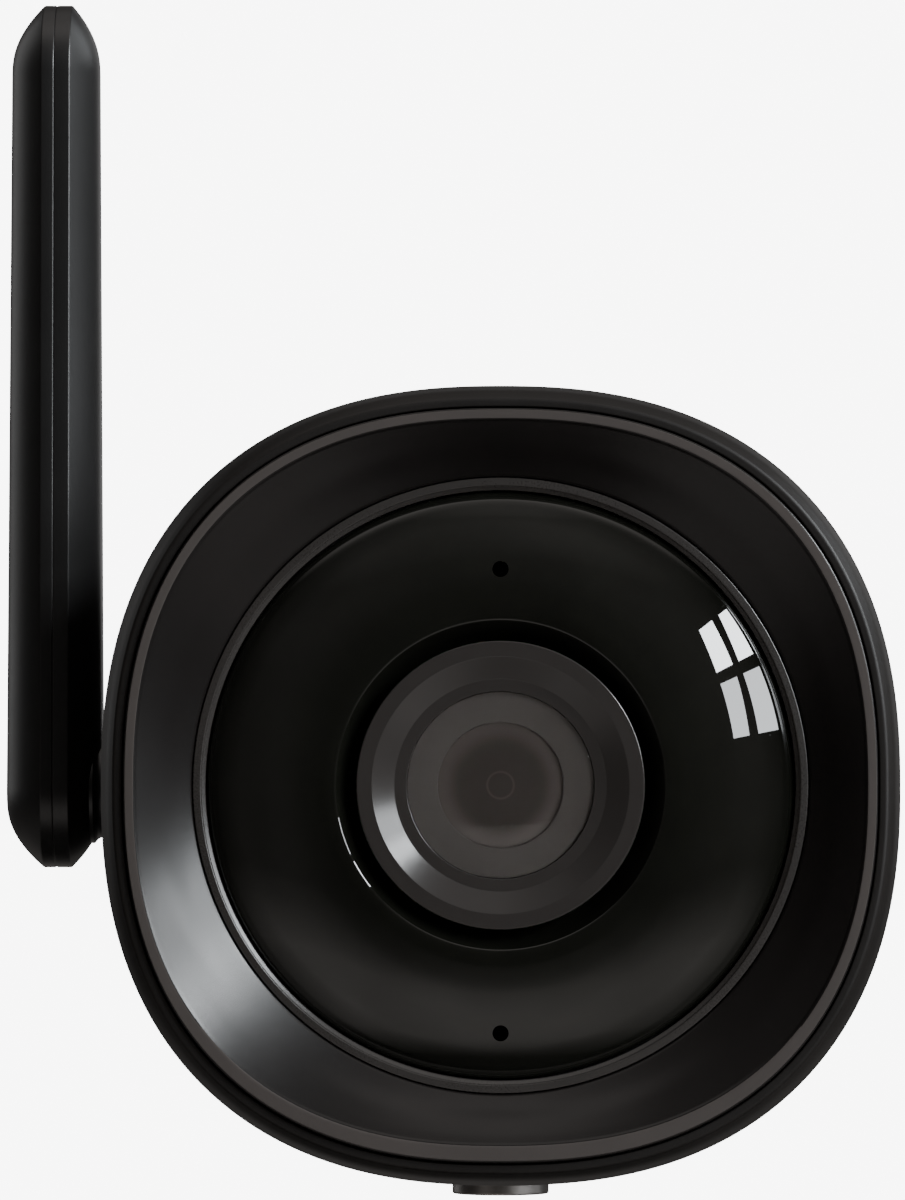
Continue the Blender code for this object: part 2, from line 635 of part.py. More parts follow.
def antenna_inner_shell():
    """The half shell with the knuckle that turns in the housing's side."""
    shell = paddle_shell("antenna_inner_shell", 1, 2.2)
    profile = ((LAND_X, -12.0), (LAND_X, 1.6), (LAND_X + 1.3, 6.0), (-30.0, 6.0), (-30.0, -12.0))
    outline = [PIVOT_AXIS[0] + Vector((x, 0, z)) for x, z in profile]
    cut(shell, prism("knuckle_land", outline, Y * -12, Y * 12))
    add(shell, rod("knuckle", PIVOT_AXIS, KNUCKLE_RADIUS, LAND_X - 0.7, KNUCKLE_END_X, sides=BARREL_SIDES))
    groove = [(KNUCKLE_RADIUS - 1.0, -36.7), (8.0, -36.7), (8.0, -34.9), (KNUCKLE_RADIUS - 1.0, -34.9)]
    cut(shell, loft("seal_groove", PIVOT_AXIS, groove, None, BARREL_SIDES))
    cut(shell, rod("knuckle_hole", PIVOT_AXIS, SHAFT_RADIUS + GAP, -45.0, -30.0))


def antenna_fittings():
    """The aerial strip, the hollow shaft the antenna turns on, its seal and its retaining clip."""
    low, high = (PADDLE_X - 0.4, PIVOT_DEPTH - 4.5, 8.0), (PADDLE_X + 0.4, PIVOT_DEPTH + 4.5, 72.0)
    block("antenna_element", low, high, "circuit_board", pivot_origin())
    shaft = [(1.5, -44.5), (3.6, -44.5), (3.6, -43.8), (SHAFT_RADIUS, -43.8), (SHAFT_RADIUS, -28.6), (2.1, -28.6),
             (2.1, -27.9), (SHAFT_RADIUS, -27.9), (SHAFT_RADIUS, -27.2), (1.5, -27.2)]
    loft("pivot_shaft", PIVOT_AXIS, shaft, "steel", SMALL_SIDES, origin=pivot_origin())
    seal = []
    for step in range(8):
        angle = math.radians(22.5 + 45 * step)
        seal.append((4.65 + 0.42 * math.cos(angle), -35.8 + 0.55 * math.sin(angle)))
    loft("pivot_oring", PIVOT_AXIS, seal, "rubber", BARREL_SIDES, origin=pivot_origin())
    clip = [(2.3, -28.4), (4.2, -28.4), (4.2, -28.1), (2.3, -28.1)]
    loft("pivot_clip", PIVOT_AXIS, clip, "steel", SMALL_SIDES, origin=pivot_origin())


def build():
    clear_scene()
    main_housing()
    front_bezel()
    cover_ring()
    front_cover()
    front_gasket()
    lens_bezel()
    lens_stack()
    filter_unit()
    sensor_group()
    infrared_ring()
    main_electronics()
    card_and_button()
    ribbon_cable()
    coax_lead()
    rear_cap()
    rear_fittings()
    mount_insert()
    card_door()
    antenna_inner_shell()
    paddle_shell("antenna_outer_shell", -1, 1.3)
    antenna_fittings()


build()
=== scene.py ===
"""Looks of the security camera: fine shells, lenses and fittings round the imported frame.

Lengths are in millimetres until MM turns them into metres. A place is written (x, depth, height):
depth runs back from the front face, and height up from the lens axis. The lens looks along -Y.
"""
import json
import math

import bmesh
import bpy
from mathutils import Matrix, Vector


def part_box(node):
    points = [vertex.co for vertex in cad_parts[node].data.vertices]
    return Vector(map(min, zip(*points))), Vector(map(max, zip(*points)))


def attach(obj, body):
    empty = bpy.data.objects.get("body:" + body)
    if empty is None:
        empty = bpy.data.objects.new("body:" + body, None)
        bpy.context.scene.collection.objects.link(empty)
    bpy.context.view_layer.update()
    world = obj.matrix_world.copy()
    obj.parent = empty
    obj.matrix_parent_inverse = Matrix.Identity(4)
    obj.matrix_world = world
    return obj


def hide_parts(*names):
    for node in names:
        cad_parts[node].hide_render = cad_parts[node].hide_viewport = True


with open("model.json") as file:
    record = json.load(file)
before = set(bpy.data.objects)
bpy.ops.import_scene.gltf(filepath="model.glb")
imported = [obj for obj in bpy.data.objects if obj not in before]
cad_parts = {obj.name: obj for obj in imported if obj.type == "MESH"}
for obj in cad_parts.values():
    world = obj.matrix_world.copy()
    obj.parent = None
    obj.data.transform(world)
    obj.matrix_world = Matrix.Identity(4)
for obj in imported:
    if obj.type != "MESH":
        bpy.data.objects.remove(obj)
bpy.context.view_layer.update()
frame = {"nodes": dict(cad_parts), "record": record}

MM = 0.001
X, Y, Z = Vector((1, 0, 0)), Vector((0, 1, 0)), Vector((0, 0, 1))


def box_mm(node):
    low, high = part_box(node)
    return low / MM, high / MM


def centre_mm(node):
    low, high = box_mm(node)
    return (low + high) / 2


# ---- Places and sizes, read from the frame ----
BEZEL_LOW, BEZEL_HIGH = box_mm("front_bezel")
FRONT_Y = BEZEL_LOW.y
LENS_Z = (BEZEL_LOW.z + BEZEL_HIGH.z) / 2
RIM_HALF = (BEZEL_HIGH.x - BEZEL_LOW.x) / 2
BEZEL_LENGTH = BEZEL_HIGH.y - BEZEL_LOW.y
HOUSING_LOW, HOUSING_HIGH = box_mm("main_housing")
HOUSING_FRONT = HOUSING_LOW.y - FRONT_Y
HOUSING_HALF = HOUSING_HIGH.x
SQUARENESS = 2.385  # superellipse exponent of the housing's rounded square


def round_size(node):
    """A round node's radius, and the depths of its front and its back."""
    low, high = box_mm(node)
    return (high.x - low.x) / 2, low.y - FRONT_Y, high.y - FRONT_Y


CAP_HIGH = box_mm("rear_cap")[1]
REAR_DEPTH = CAP_HIGH.y - FRONT_Y
CAP_HALF = CAP_HIGH.x

COVER_RADIUS, COVER_CREST, COVER_BACK = round_size("front_cover")
RING_RADIUS, RING_FRONT, RING_BACK = round_size("cover_ring")
SHROUD_RADIUS, SHROUD_FRONT, SHROUD_BACK = round_size("lens_bezel")
WINDOW_HIGH = box_mm("lens_window")[1]
UPPER_PINHOLE = centre_mm("microphone").z - LENS_Z
LOWER_PINHOLE = centre_mm("light_sensor").z - LENS_Z

PIVOT = centre_mm("pivot_oring")
PADDLE_LOW, PADDLE_HIGH = box_mm("antenna_outer_shell")
ELEMENT = centre_mm("antenna_element")
HINGE = centre_mm("hinge_pin")
HINGE_DEPTH = HINGE.y - FRONT_Y
DOOR_LOW, DOOR_HIGH = box_mm("card_cover")
INSERT_HIGH = box_mm("mount_insert")[1]
INLET = centre_mm("power_socket")
SPEAKER = centre_mm("speaker")

# How many sides round shapes have, from the housing down to the smallest fittings.
AROUND = 192
LENS_SIDES = 128
ROUND_SIDES = 64
SMALL_SIDES = 40
PIN_SIDES = 32

NODE_BODY = {n: b for b, ns in frame["record"]["behaviour"]["bodies"].items() for n in ns}


def point(x, depth, height):
    return Vector((x, FRONT_Y + depth, LENS_Z + height))


def lens_axis(x=0.0, height=0.0):
    """An axis that runs back from the front face, as (start, across, up, along)."""
    return point(x, 0, height), X, Z, Y


def cross_axis(y, z):
    """An axis along X. Positions along it are world x."""
    return Vector((0, y, z)), Y, Z, X


def upright_axis(x, y):
    """An axis along Z. Positions along it are world z."""
    return Vector((x, y, 0)), X, Y, Z


PIVOT_AXIS = cross_axis(PIVOT.y, PIVOT.z)
HINGE_AXIS = cross_axis(HINGE.y, HINGE.z)
MOUNT_AXIS = upright_axis(0, 0)


# ---- Mesh tools ----
TINY = 1e-6
MOST_OF_HALF = 0.48  # a fillet takes no more of an edge than this share
CREASE = 35  # degrees


def station(half, depth, power=2.0, low=1.0):
    """One loop of a loft: half width, position, squareness, and the lower half's height share."""
    return half, depth, power, low


def squared(half, depth, low=1.0):
    """A loop as square as the housing."""
    return half, depth, SQUARENESS, low


def mix(a, b, share):
    return tuple(p + (q - p) * share for p, q in zip(a, b))


def stations(rows):
    """Round loops from (radius, position) rows."""
    return [station(radius, along) for radius, along in rows]


def turned(rows, closed=False):
    """Round loops from (radius, position, setback) rows, with their corners softened."""
    return softened([(station(radius, along), setback) for radius, along, setback in rows], closed)


def softened(corners, closed=False, steps=5):
    """Round the corners of a profile, given as (station, setback) pairs.

    A corner's fillet starts its setback away along both of its edges.
    """
    points = []
    count = len(corners)
    for index, (here, setback) in enumerate(corners):
        ends = not closed and index in (0, count - 1)
        if not setback or ends:
            points.append(here)
            continue
        before, after = corners[index - 1][0], corners[(index + 1) % count][0]
        cuts = []
        for other in (before, after):
            length = math.hypot(other[0] - here[0], other[1] - here[1])
            cuts.append(mix(here, other, min(setback / max(length, TINY), MOST_OF_HALF)))
        for step in range(steps + 1):
            share = step / steps
            points.append(mix(mix(cuts[0], here, share), mix(here, cuts[1], share), share))
    return points


def catmull_rom(p, q, r, s, t):
    """The curve between q and r at share t, with p and s as their neighbours."""
    square, cube = 2 * p - 5 * q + 4 * r - s, 3 * q - p - 3 * r + s
    return (2 * q + (r - p) * t + square * t * t + cube * t**3) / 2


def flowing(knots, steps=8):
    """A smooth curve through the stations given."""
    points = []
    last = len(knots) - 1
    for index in range(last):
        near = knots[max(index - 1, 0)], knots[index], knots[index + 1], knots[min(index + 2, last)]
        for step in range(steps):
            points.append(tuple(catmull_rom(*values, step / steps) for values in zip(*near)))
    points.append(knots[-1])
    return points


def ring_points(axis, loop, sides):
    start, across, up, forward = axis
    half, along, power, low = loop
    points = []
    for step in range(sides):
        angle = 2 * math.pi * step / sides
        cos, sin = math.cos(angle), math.sin(angle)
        reach = half / (abs(cos) ** power + abs(sin) ** power) ** (1 / power)
        tall = low if sin < 0 else 1.0
        points.append(start + across * (reach * cos) + up * (reach * sin * tall) + forward * along)
    return points


def bridge(bm, rings):
    """Join each ring of points to the next."""
    for first, second in zip(rings, rings[1:]):
        for i in range(len(first)):
            j = (i + 1) % len(first)
            bm.faces.new((first[i], first[j], second[j], second[i]))


def lofted(bm, axis, loops, sides, closed=False):
    """Add a body made of loops about an axis: a ring if it is closed, or else with capped ends."""
    rings = [[bm.verts.new(place) for place in ring_points(axis, loop, sides)] for loop in loops]
    bridge(bm, rings)
    if closed:
        bridge(bm, (rings[-1], rings[0]))
        return
    for ring in (rings[0], rings[-1]):
        middle = bm.verts.new(sum((v.co for v in ring), Vector()) / sides)
        for i in range(sides):
            bm.faces.new((ring[i], ring[(i + 1) % sides], middle))


def extruded(bm, outline, start, end):
    rings = [[bm.verts.new(place + shift) for place in outline] for shift in (start, end)]
    bridge(bm, rings)
    for ring in rings:
        bm.faces.new(ring)


def round_rect(centre, half_a, half_b, radius, along_a, along_b, steps=6):
    """A rectangle outline with round corners, in the plane of two directions."""
    outline = []
    for quarter, (sign_a, sign_b) in enumerate(((1, 1), (-1, 1), (-1, -1), (1, -1))):
        for step in range(steps + 1):
            angle = math.pi / 2 * (quarter + step / steps)
            a = sign_a * (half_a - radius) + radius * math.cos(angle)
            b = sign_b * (half_b - radius) + radius * math.sin(angle)
            outline.append(centre + along_a * a + along_b * b)
    return outline


def finished(name, bm, crease=CREASE):
    """Make an object from a bmesh in millimetres, smooth but for edges past the crease angle."""
    bmesh.ops.recalc_face_normals(bm, faces=bm.faces)
    bmesh.ops.scale(bm, verts=bm.verts, vec=(MM, MM, MM))
    mesh = bpy.data.meshes.new(name)
    bm.to_mesh(mesh)
    bm.free()
    mesh.shade_smooth()
    mesh.set_sharp_from_angle(angle=math.radians(crease))
    obj = bpy.data.objects.new(name, mesh)
    bpy.context.scene.collection.objects.link(obj)
    return obj


def loft(name, axis, loops, sides, closed=False):
    bm = bmesh.new()
    lofted(bm, axis, loops, sides, closed)
    return finished(name, bm)


def combine(target, bm, operation):
    """Apply a Boolean with a tool made from a bmesh."""
    tool = finished("tool", bm)
    modifier = target.modifiers.new("combine", "BOOLEAN")
    modifier.operation = operation
    modifier.object = tool
    modifier.solver = "EXACT"
    apply_modifiers(target)
    bpy.data.objects.remove(tool, do_unlink=True)


def apply_modifiers(obj):
    depsgraph = bpy.context.evaluated_depsgraph_get()
    evaluated = obj.evaluated_get(depsgraph)
    mesh = bpy.data.meshes.new_from_object(evaluated, depsgraph=depsgraph)
    obj.modifiers.clear()
    obj.data = mesh
    obj.data.shade_smooth()
    obj.data.set_sharp_from_angle(angle=math.radians(CREASE))


def bevelled(obj, width, angle):
    """Round the edges sharper than an angle."""
    modifier = obj.modifiers.new("edge", "BEVEL")
    modifier.width = width * MM
    modifier.segments = 2
    modifier.limit_method = "ANGLE"
    modifier.angle_limit = math.radians(angle)
    modifier.harden_normals = False
    apply_modifiers(obj)


def dress(obj, material):
    obj.data.materials.clear()
    obj.data.materials.append(material)


def even_normals(obj):
    """Weigh normals by face area, so flat faces beside small fillets shade flat."""
    modifier = obj.modifiers.new("normals", "WEIGHTED_NORMAL")
    modifier.mode = "FACE_AREA"
    modifier.weight = 50
    modifier.keep_sharp = True


def stand_for(obj, node, look):
    """Let a fine piece stand for its CAD node: dressed in its look, joined to the same body, with
    the node hidden.
    """
    dress(obj, MATERIALS[look])
    even_normals(obj)
    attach(obj, NODE_BODY[node])
    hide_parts(node)


# ---- Materials ----
class Tree:
    """A node tree, with short ways to add nodes to it. Values can be numbers or nodes' outputs."""

    def __init__(self, tree, coordinates):
        self.tree = tree
        self.place = self.add("ShaderNodeTexCoord").outputs[coordinates]

    def put(self, value, target):
        """Link an output to an input, or set the input to a plain value."""
        if isinstance(value, bpy.types.NodeSocket):
            self.tree.links.new(value, target)
        elif target.type == "RGBA":
            target.default_value = (*value, 1.0)
        else:
            target.default_value = value
        return self

    def fill(self, node, named):
        for key, value in named.items():
            self.put(value, node.inputs[key.replace("_", " ")])
        return node

    def add(self, kind, *values, operation=None, **named):
        """Add a node, with its inputs given in order or by name."""
        node = self.tree.nodes.new(kind)
        if operation:
            node.operation = operation
        for socket, value in zip(node.inputs, values):
            self.put(value, socket)
        return self.fill(node, named)

    def noise(self, scale, detail=3.0, roughness=0.5, vector=None):
        node = self.add("ShaderNodeTexNoise", Vector=vector or self.place, Scale=scale,
                        Detail=detail, Roughness=roughness)
        return node.outputs["Fac"]

    def span(self, value, low, high, start=0.0, end=1.0, smooth=False):
        """Map a value's start to end onto low to high, held at both ends."""
        node = self.add("ShaderNodeMapRange", Value=value, From_Min=start, From_Max=end,
                        To_Min=low, To_Max=high)
        node.interpolation_type = "SMOOTHSTEP" if smooth else "LINEAR"
        return node.outputs["Result"]

    def maths(self, operation, a, b):
        return self.add("ShaderNodeMath", a, b, operation=operation).outputs[0]

    def times(self, a, b):
        return self.maths("MULTIPLY", a, b)

    def toned(self, direction, bands):
        """A tone read from (direction, tone) pairs, for a direction from -1 to 1."""
        ramp = self.add("ShaderNodeValToRGB", self.span(direction, 0.0, 1.0, -1.0, 1.0))
        stops = ramp.color_ramp.elements
        while len(stops) < len(bands):
            stops.new(0.5)
        for stop, (place, tone) in zip(stops, bands):
            stop.position = (place + 1) / 2
            stop.color = (tone, tone, tone, 1)
        return ramp.outputs["Color"]


class Nodes(Tree):
    """A Principled material. Its patterns use object coordinates, in metres."""

    def __init__(self, name):
        self.material = bpy.data.materials.new(name)
        self.material.use_nodes = True
        super().__init__(self.material.node_tree, "Object")
        self.shader = self.tree.nodes["Principled BSDF"]

    def set(self, **values):
        self.fill(self.shader, values)
        return self

    def stretched(self, scale, turn=(0, 0, 0)):
        node = self.add("ShaderNodeMapping", Vector=self.place, Scale=scale, Rotation=turn)
        return node.outputs["Vector"]

    def cells(self, scale):
        return self.add("ShaderNodeTexVoronoi", Vector=self.place, Scale=scale).outputs["Distance"]

    def wave(self, scale, direction, distortion=0.0):
        node = self.add("ShaderNodeTexWave", Vector=self.place, Scale=scale, Distortion=distortion)
        node.bands_direction = direction
        return node.outputs["Fac"]

    def blend(self, factor, a, b):
        """A colour between a and b, each a colour or an output."""
        node = self.add("ShaderNodeMix", Factor=factor)
        node.data_type = "RGBA"
        self.put(a, node.inputs[6]).put(b, node.inputs[7])
        return node.outputs[2]

    def bump(self, height, distance, strength, under=None):
        """Relief of a height map, in millimetres, over another relief."""
        node = self.add("ShaderNodeBump", Strength=strength, Distance=distance * MM, Height=height)
        if under:
            self.put(under, node.inputs["Normal"])
        return node.outputs["Normal"]

    def radius(self, centre):
        """Distance from the lens axis, in millimetres."""
        kind = "ShaderNodeVectorMath"
        middle = (centre.x * MM, 0, centre.z * MM)
        moved = self.add(kind, self.place, middle, operation="SUBTRACT")
        flat = self.add(kind, moved.outputs[0], (1 / MM, 0, 1 / MM), operation="MULTIPLY")
        return self.add(kind, flat.outputs[0], operation="LENGTH").outputs["Value"]

    def colour(self, output):
        return self.put(output, self.shader.inputs["Base Color"])

    def rough(self, output):
        return self.put(output, self.shader.inputs["Roughness"])

    def relief(self, output):
        return self.put(output, self.shader.inputs["Normal"])


def moulded(name, colour, roughness, grain=0.010, *, spread=0.10, specular=0.42, ior=1.5):
    """Satin moulded plastic: a fine spark-eroded grain, faint flow marks and handling smudges."""
    n = Nodes(name).set(Specular_IOR_Level=specular, IOR=ior)
    fine = n.noise(5200, 3, 0.6)
    flow = n.noise(140, 2, 0.5, n.stretched((1.0, 0.25, 1.0)))
    smudge = n.noise(55, 4, 0.6)
    light = tuple(c * (1 + spread) for c in colour)
    dark = tuple(c * (1 - spread) for c in colour)
    n.colour(n.blend(n.span(flow, 0, 1, 0.3, 0.7), dark, light))
    wiped = n.span(smudge, roughness * 0.97, roughness * 1.04, 0.35, 0.65, smooth=True)
    n.rough(n.maths("ADD", wiped, n.span(fine, -0.02, 0.02, 0.3, 0.7)))
    n.relief(n.bump(fine, grain, 0.6))
    return n.material


def gloss_cover(name):
    """Black infrared-passing plastic: mirror gloss, faint polishing haze and specks of dust."""
    n = Nodes(name).set(Specular_IOR_Level=0.5, IOR=1.46)
    haze = n.noise(70, 4, 0.65)
    dust = n.span(n.cells(900), 1, 0, 0.02, 0.05)
    clean, hazy, dusty = (0.0019, 0.0020, 0.0015), (0.0036, 0.0038, 0.0029), (0.012, 0.011, 0.010)
    base = n.blend(n.span(haze, 0, 1, 0.3, 0.75), clean, hazy)
    n.colour(n.blend(dust, base, dusty))
    n.rough(n.maths("ADD", n.span(haze, 0.012, 0.035, 0.4, 0.8), n.times(dust, 0.12)))
    return n.material


def window_glass(name):
    n = Nodes(name).set(Transmission_Weight=1.0, IOR=1.18, Base_Color=(0.97, 0.965, 0.96))
    film = n.noise(90, 3)
    n.rough(n.span(film, 0.0, 0.012, 0.45, 0.8))
    return n.material


def lens_painted_shading(name):
    """A coated lens element with painted light: painted shade in the middle, a painted pale rim
    that stands for a highlight and lightens the shade the border casts, and a painted ghost
    reflection ring.
    """
    n = Nodes(name).set(Specular_IOR_Level=0.16, IOR=1.5)
    radius = n.radius(centre_mm("lens_window"))
    # Painted light: the dark colour is painted shade, the pale rim colour a painted highlight, and
    # the ghost colour a painted reflection of the iris, blended by distance from the lens axis.
    painted_dark_centre, rim, painted_ghost_reflection = (0.0285, 0.0246, 0.0226), (0.0545, 0.0478, 0.0446), (0.046, 0.0406, 0.0378)
    depths = n.blend(n.span(radius, 0, 1, 3.7, 5.5, smooth=True), painted_dark_centre, rim)
    ghost_reflection_ring = n.times(n.span(radius, 0, 1, 1.10, 1.2), n.span(radius, 1, 0, 1.3, 1.40))
    n.colour(n.blend(ghost_reflection_ring, depths, painted_ghost_reflection))
    n.rough(n.span(n.noise(60, 3), 0.02, 0.05, 0.4, 0.7))
    return n.material


def turned_metal(name, colour, roughness, rings=2600, direction="Z"):
    """Turned metal: fine tool rings about its axis and a slightly cloudy plating."""
    n = Nodes(name).set(Metallic=1.0)
    tool = n.wave(rings, direction, 0.4)
    cloud = n.noise(160, 4, 0.6)
    light = tuple(min(c * 1.12, 1.0) for c in colour)
    dark = tuple(c * 0.86 for c in colour)
    n.colour(n.blend(cloud, dark, light))
    n.rough(n.span(cloud, roughness * 0.85, roughness * 1.25, 0.3, 0.7))
    n.relief(n.bump(tool, 0.004, 0.5, n.bump(n.noise(3200, 2), 0.002, 0.4)))
    return n.material


def mottled(name, clouds, dark, light, roughness, relief=None, **values):
    """A cloudy material between two colours. Clouds and a relief's grain are noise settings."""
    n = Nodes(name).set(**values)
    cloud = n.noise(*clouds)
    n.colour(n.blend(cloud, dark, light))
    n.rough(n.span(cloud, *roughness, 0.3, 0.7))
    if relief:
        grain, depth, strength = relief
        n.relief(n.bump(cloud if grain == clouds else n.noise(*grain), depth, strength))
    return n.material


def circuit_board(name):
    """Green solder mask over copper tracks, with plated pads."""
    n = Nodes(name)
    tracks = n.add(
        "ShaderNodeTexBrick", Vector=n.stretched((1, 1, 1), (math.pi / 2, 0, 0)), Scale=260,
        Mortar_Size=0.06, Color1=(1, 1, 1), Color2=(0.75, 0.75, 0.75), Mortar=(0, 0, 0))
    line = tracks.outputs["Fac"]
    pads = n.span(n.cells(420), 1, 0, 0.14, 0.18)
    mask = n.blend(line, (0.006, 0.075, 0.032), (0.016, 0.150, 0.062))
    n.colour(n.blend(pads, mask, (0.62, 0.50, 0.26)))
    n.rough(n.span(n.noise(900, 3), 0.28, 0.45, 0.3, 0.7))
    n.relief(n.bump(line, 0.02, 0.6, n.bump(pads, 0.02, 0.5)))
    return n.material


def copper_winding(name):
    n = Nodes(name).set(Metallic=0.8)
    wire = n.wave(1500, "Y")
    n.colour(n.blend(wire, (0.30, 0.10, 0.04), (0.80, 0.40, 0.22)))
    n.rough(n.span(wire, 0.45, 0.25, 0.2, 0.8))
    n.relief(n.bump(wire, 0.08, 0.8))
    return n.material


MATERIALS = {
    "shell": moulded("satin_black_shell", (0.0062, 0.0053, 0.0048), 0.46, specular=0.45, ior=1.3),
    "antenna": moulded("satin_black_antenna", (0.0042, 0.0040, 0.0040), 0.36),
    "hood": moulded("satin_black_hood", (0.0042, 0.0036, 0.0034), 0.24, grain=0.005, specular=0.24),
    "rim": moulded("dark_grey_rim", (0.0295, 0.0250, 0.0230), 0.45, 0.006, spread=0.05,
                   specular=0.3),
    "ring": moulded("dark_grey_ring", (0.0165, 0.0148, 0.0138), 0.28, 0.004, spread=0.05),
    "border": moulded("printed_border", (0.0350, 0.0307, 0.0285), 0.50, 0.003, spread=0.04,
                      specular=0.3),
    "bezel": moulded("satin_black_barrel", (0.0120, 0.0105, 0.0098), 0.33),
    "cover": gloss_cover("gloss_black_cover"),
    "shroud": moulded("satin_black_shroud", (0.0152, 0.0136, 0.0128), 0.2, 0.002, spread=0.05,
                      specular=0.36),
    "window": window_glass("clear_window"),
    # The lens look carries painted shade, a painted pale rim and a painted ghost reflection.
    "lens": lens_painted_shading("lens_painted_shading"),
    "filter": mottled("filter_glass", (240,), (0.30, 0.50, 0.62), (0.42, 0.62, 0.70), (0.01, 0.04),
                      Transmission_Weight=0.85, IOR=1.5),
    "insert": turned_metal("turned_insert", (0.30, 0.285, 0.275), 0.34),
    "aluminium": turned_metal("cast_aluminium", (0.55, 0.55, 0.56), 0.38, 1800, "Y"),
    "steel": turned_metal("plated_steel", (0.50, 0.50, 0.51), 0.28, 3200, "X"),
    "screw": turned_metal("blackened_screw", (0.05, 0.05, 0.052), 0.34, 3200, "Y"),
    "brass": turned_metal("turned_brass", (0.70, 0.48, 0.22), 0.28, 2400, "Y"),
    "rubber": mottled("black_rubber", (120,), (0.010, 0.010, 0.010), (0.024, 0.023, 0.022),
                      (0.68, 0.86), ((3800, 4, 0.65), 0.02, 0.7), Specular_IOR_Level=0.35),
    "board": circuit_board("green_board"),
    "component": mottled("component_epoxy", (6000, 4, 0.7), (0.010, 0.010, 0.011),
                         (0.034, 0.034, 0.036), (0.42, 0.62), ((6000, 4, 0.7), 0.015, 0.6)),
    "pale": mottled("pale_plastic", (300,), (0.52, 0.50, 0.45), (0.62, 0.60, 0.55), (0.38, 0.52),
                    ((4200,), 0.006, 0.5)),
    "lamp": mottled("lamp_resin", (700,), (0.20, 0.06, 0.10), (0.34, 0.12, 0.17), (0.05, 0.12),
                    Transmission_Weight=0.6, IOR=1.52),
    "copper": copper_winding("copper_winding"),
}


# ---- Housing ----
WALL = 2.3
FLANK_HALF = 38.0  # the housing's half width that the flank's knots are drawn for
FLANK = (  # (half width, depth)
    (37.75, 5.5), (37.95, 10.0), (37.95, 22.0), (37.6, 40.0), (37.0, 60.0), (35.9, 79.0),
    (33.75, 97.4),
)
INNER_START = 22.0
HOUSING_SEAT = RIM_HALF + 0.14
BOSS_END = -38.2  # where the antenna's boss ends, to the left
SCREWS = [centre_mm(f"rear_screw_{number}") for number in (1, 2, 3, 4)]
SCREW_PLACES = [(screw.x, screw.z - LENS_Z) for screw in SCREWS]
SCREW_BORE = 1.5
POST_DEPTHS = Y * 83.0, Y * 91.4
DOOR_HALF = DOOR_HIGH.x
DOOR_FRONT = DOOR_LOW.y - FRONT_Y
DOOR_BACK = HINGE_DEPTH - 1.7
DOOR_GAP = 0.22
THROUGH_UNDERSIDE = Z * -46, Z * -28  # spans the housing's lower wall


def flank():
    """The outside of the housing from behind its lip to its back edge."""
    reach = HOUSING_HALF - FLANK_HALF
    return flowing([squared(half + reach, depth) for half, depth in FLANK], 7)


def skin_loops():
    """Closed profile of the housing's skin: front lip, flank, back edge, inside."""
    outside = flank()
    inside = [squared(s[0] - WALL, s[1]) for s in reversed(outside) if s[1] > INNER_START]
    lip = softened([
        (squared(HOUSING_SEAT, 5.0), 0),
        (squared(HOUSING_SEAT, HOUSING_FRONT), 0.16),
        (squared(36.35, HOUSING_FRONT - 0.02), 0.30),
        (squared(37.1, 1.9), 1.1),
        (outside[0], 0),
    ])
    edge = softened([(outside[-2], 0), (outside[-1], 0.35), (inside[0], 0.2), (inside[1], 0)])
    step = [squared(HOUSING_SEAT, BEZEL_LENGTH + 2.0)]
    return lip[:-1] + outside[:-1] + edge[1:-1] + inside[1:] + step


def housing_shell():
    shell = loft("housing_shell", lens_axis(), skin_loops(), AROUND, closed=True)
    extra = bmesh.new()
    boss = turned([(3.0, BOSS_END, 0), (6.4, BOSS_END, 0.5), (6.5, -36.9, 0.8), (8.0, -35.8, 0.4),
                   (8.0, -34.4, 0), (6.4, -30.8, 0)])
    lofted(extra, PIVOT_AXIS, boss, ROUND_SIDES)
    pad = turned([(3.0, 3.2, 0), (8.0, 3.2, 0.4), (8.4, 4.2, 0), (8.0, 15.5, 0)])
    lofted(extra, MOUNT_AXIS, pad, ROUND_SIDES)
    for x, z in SCREW_PLACES:
        screw_post(extra, x, z)
    for side in (-1, 1):
        ear = ((1.0, 4.3), (1.3, 4.45), (1.3, 7.0), (1.0, 7.3))
        loops = stations([(radius, side * along) for radius, along in ear])
        lofted(extra, HINGE_AXIS, loops, PIN_SIDES)
    combine(shell, extra, "UNION")
    cutter = bmesh.new()
    bore = stations([(5.55, -45), (5.55, BOSS_END - 0.01), (5.25, BOSS_END + 0.3), (5.25, -33.1),
                     (2.8, -33.1), (2.8, -25)])
    lofted(cutter, PIVOT_AXIS, bore, ROUND_SIDES)
    lofted(cutter, MOUNT_AXIS, stations([(5.0, -1), (5.0, 13.3)]), ROUND_SIDES)
    for x, z in SCREW_PLACES:
        lofted(cutter, lens_axis(x, z), stations([(SCREW_BORE, 85), (SCREW_BORE, 95)]), 24)
    extruded(cutter, door_outline(DOOR_GAP), *THROUGH_UNDERSIDE)
    combine(shell, cutter, "DIFFERENCE")
    stand_for(shell, "main_housing", "shell")


def door_outline(spare=0.0):
    """Outline of the card door with its hinge tab, seen from below, grown by a spare width."""
    half, radius = DOOR_HALF + spare, 1.4
    front, back = DOOR_FRONT - spare, DOOR_BACK + spare
    tab, tab_back = 4.0 + spare, HINGE_DEPTH + 1.3 + spare
    corners = (half - radius, front + radius, -90), (half - radius, back - radius, 0)
    outline = []
    for x, depth, first in corners:
        for step in range(7):
            angle = math.radians(first + 15 * step)
            outline.append((x + radius * math.cos(angle), depth + radius * math.sin(angle)))
    outline += [(tab, back), (tab, tab_back)]
    outline += [(-x, depth) for x, depth in reversed(outline)]
    return [point(x, depth, 0) for x, depth in outline]


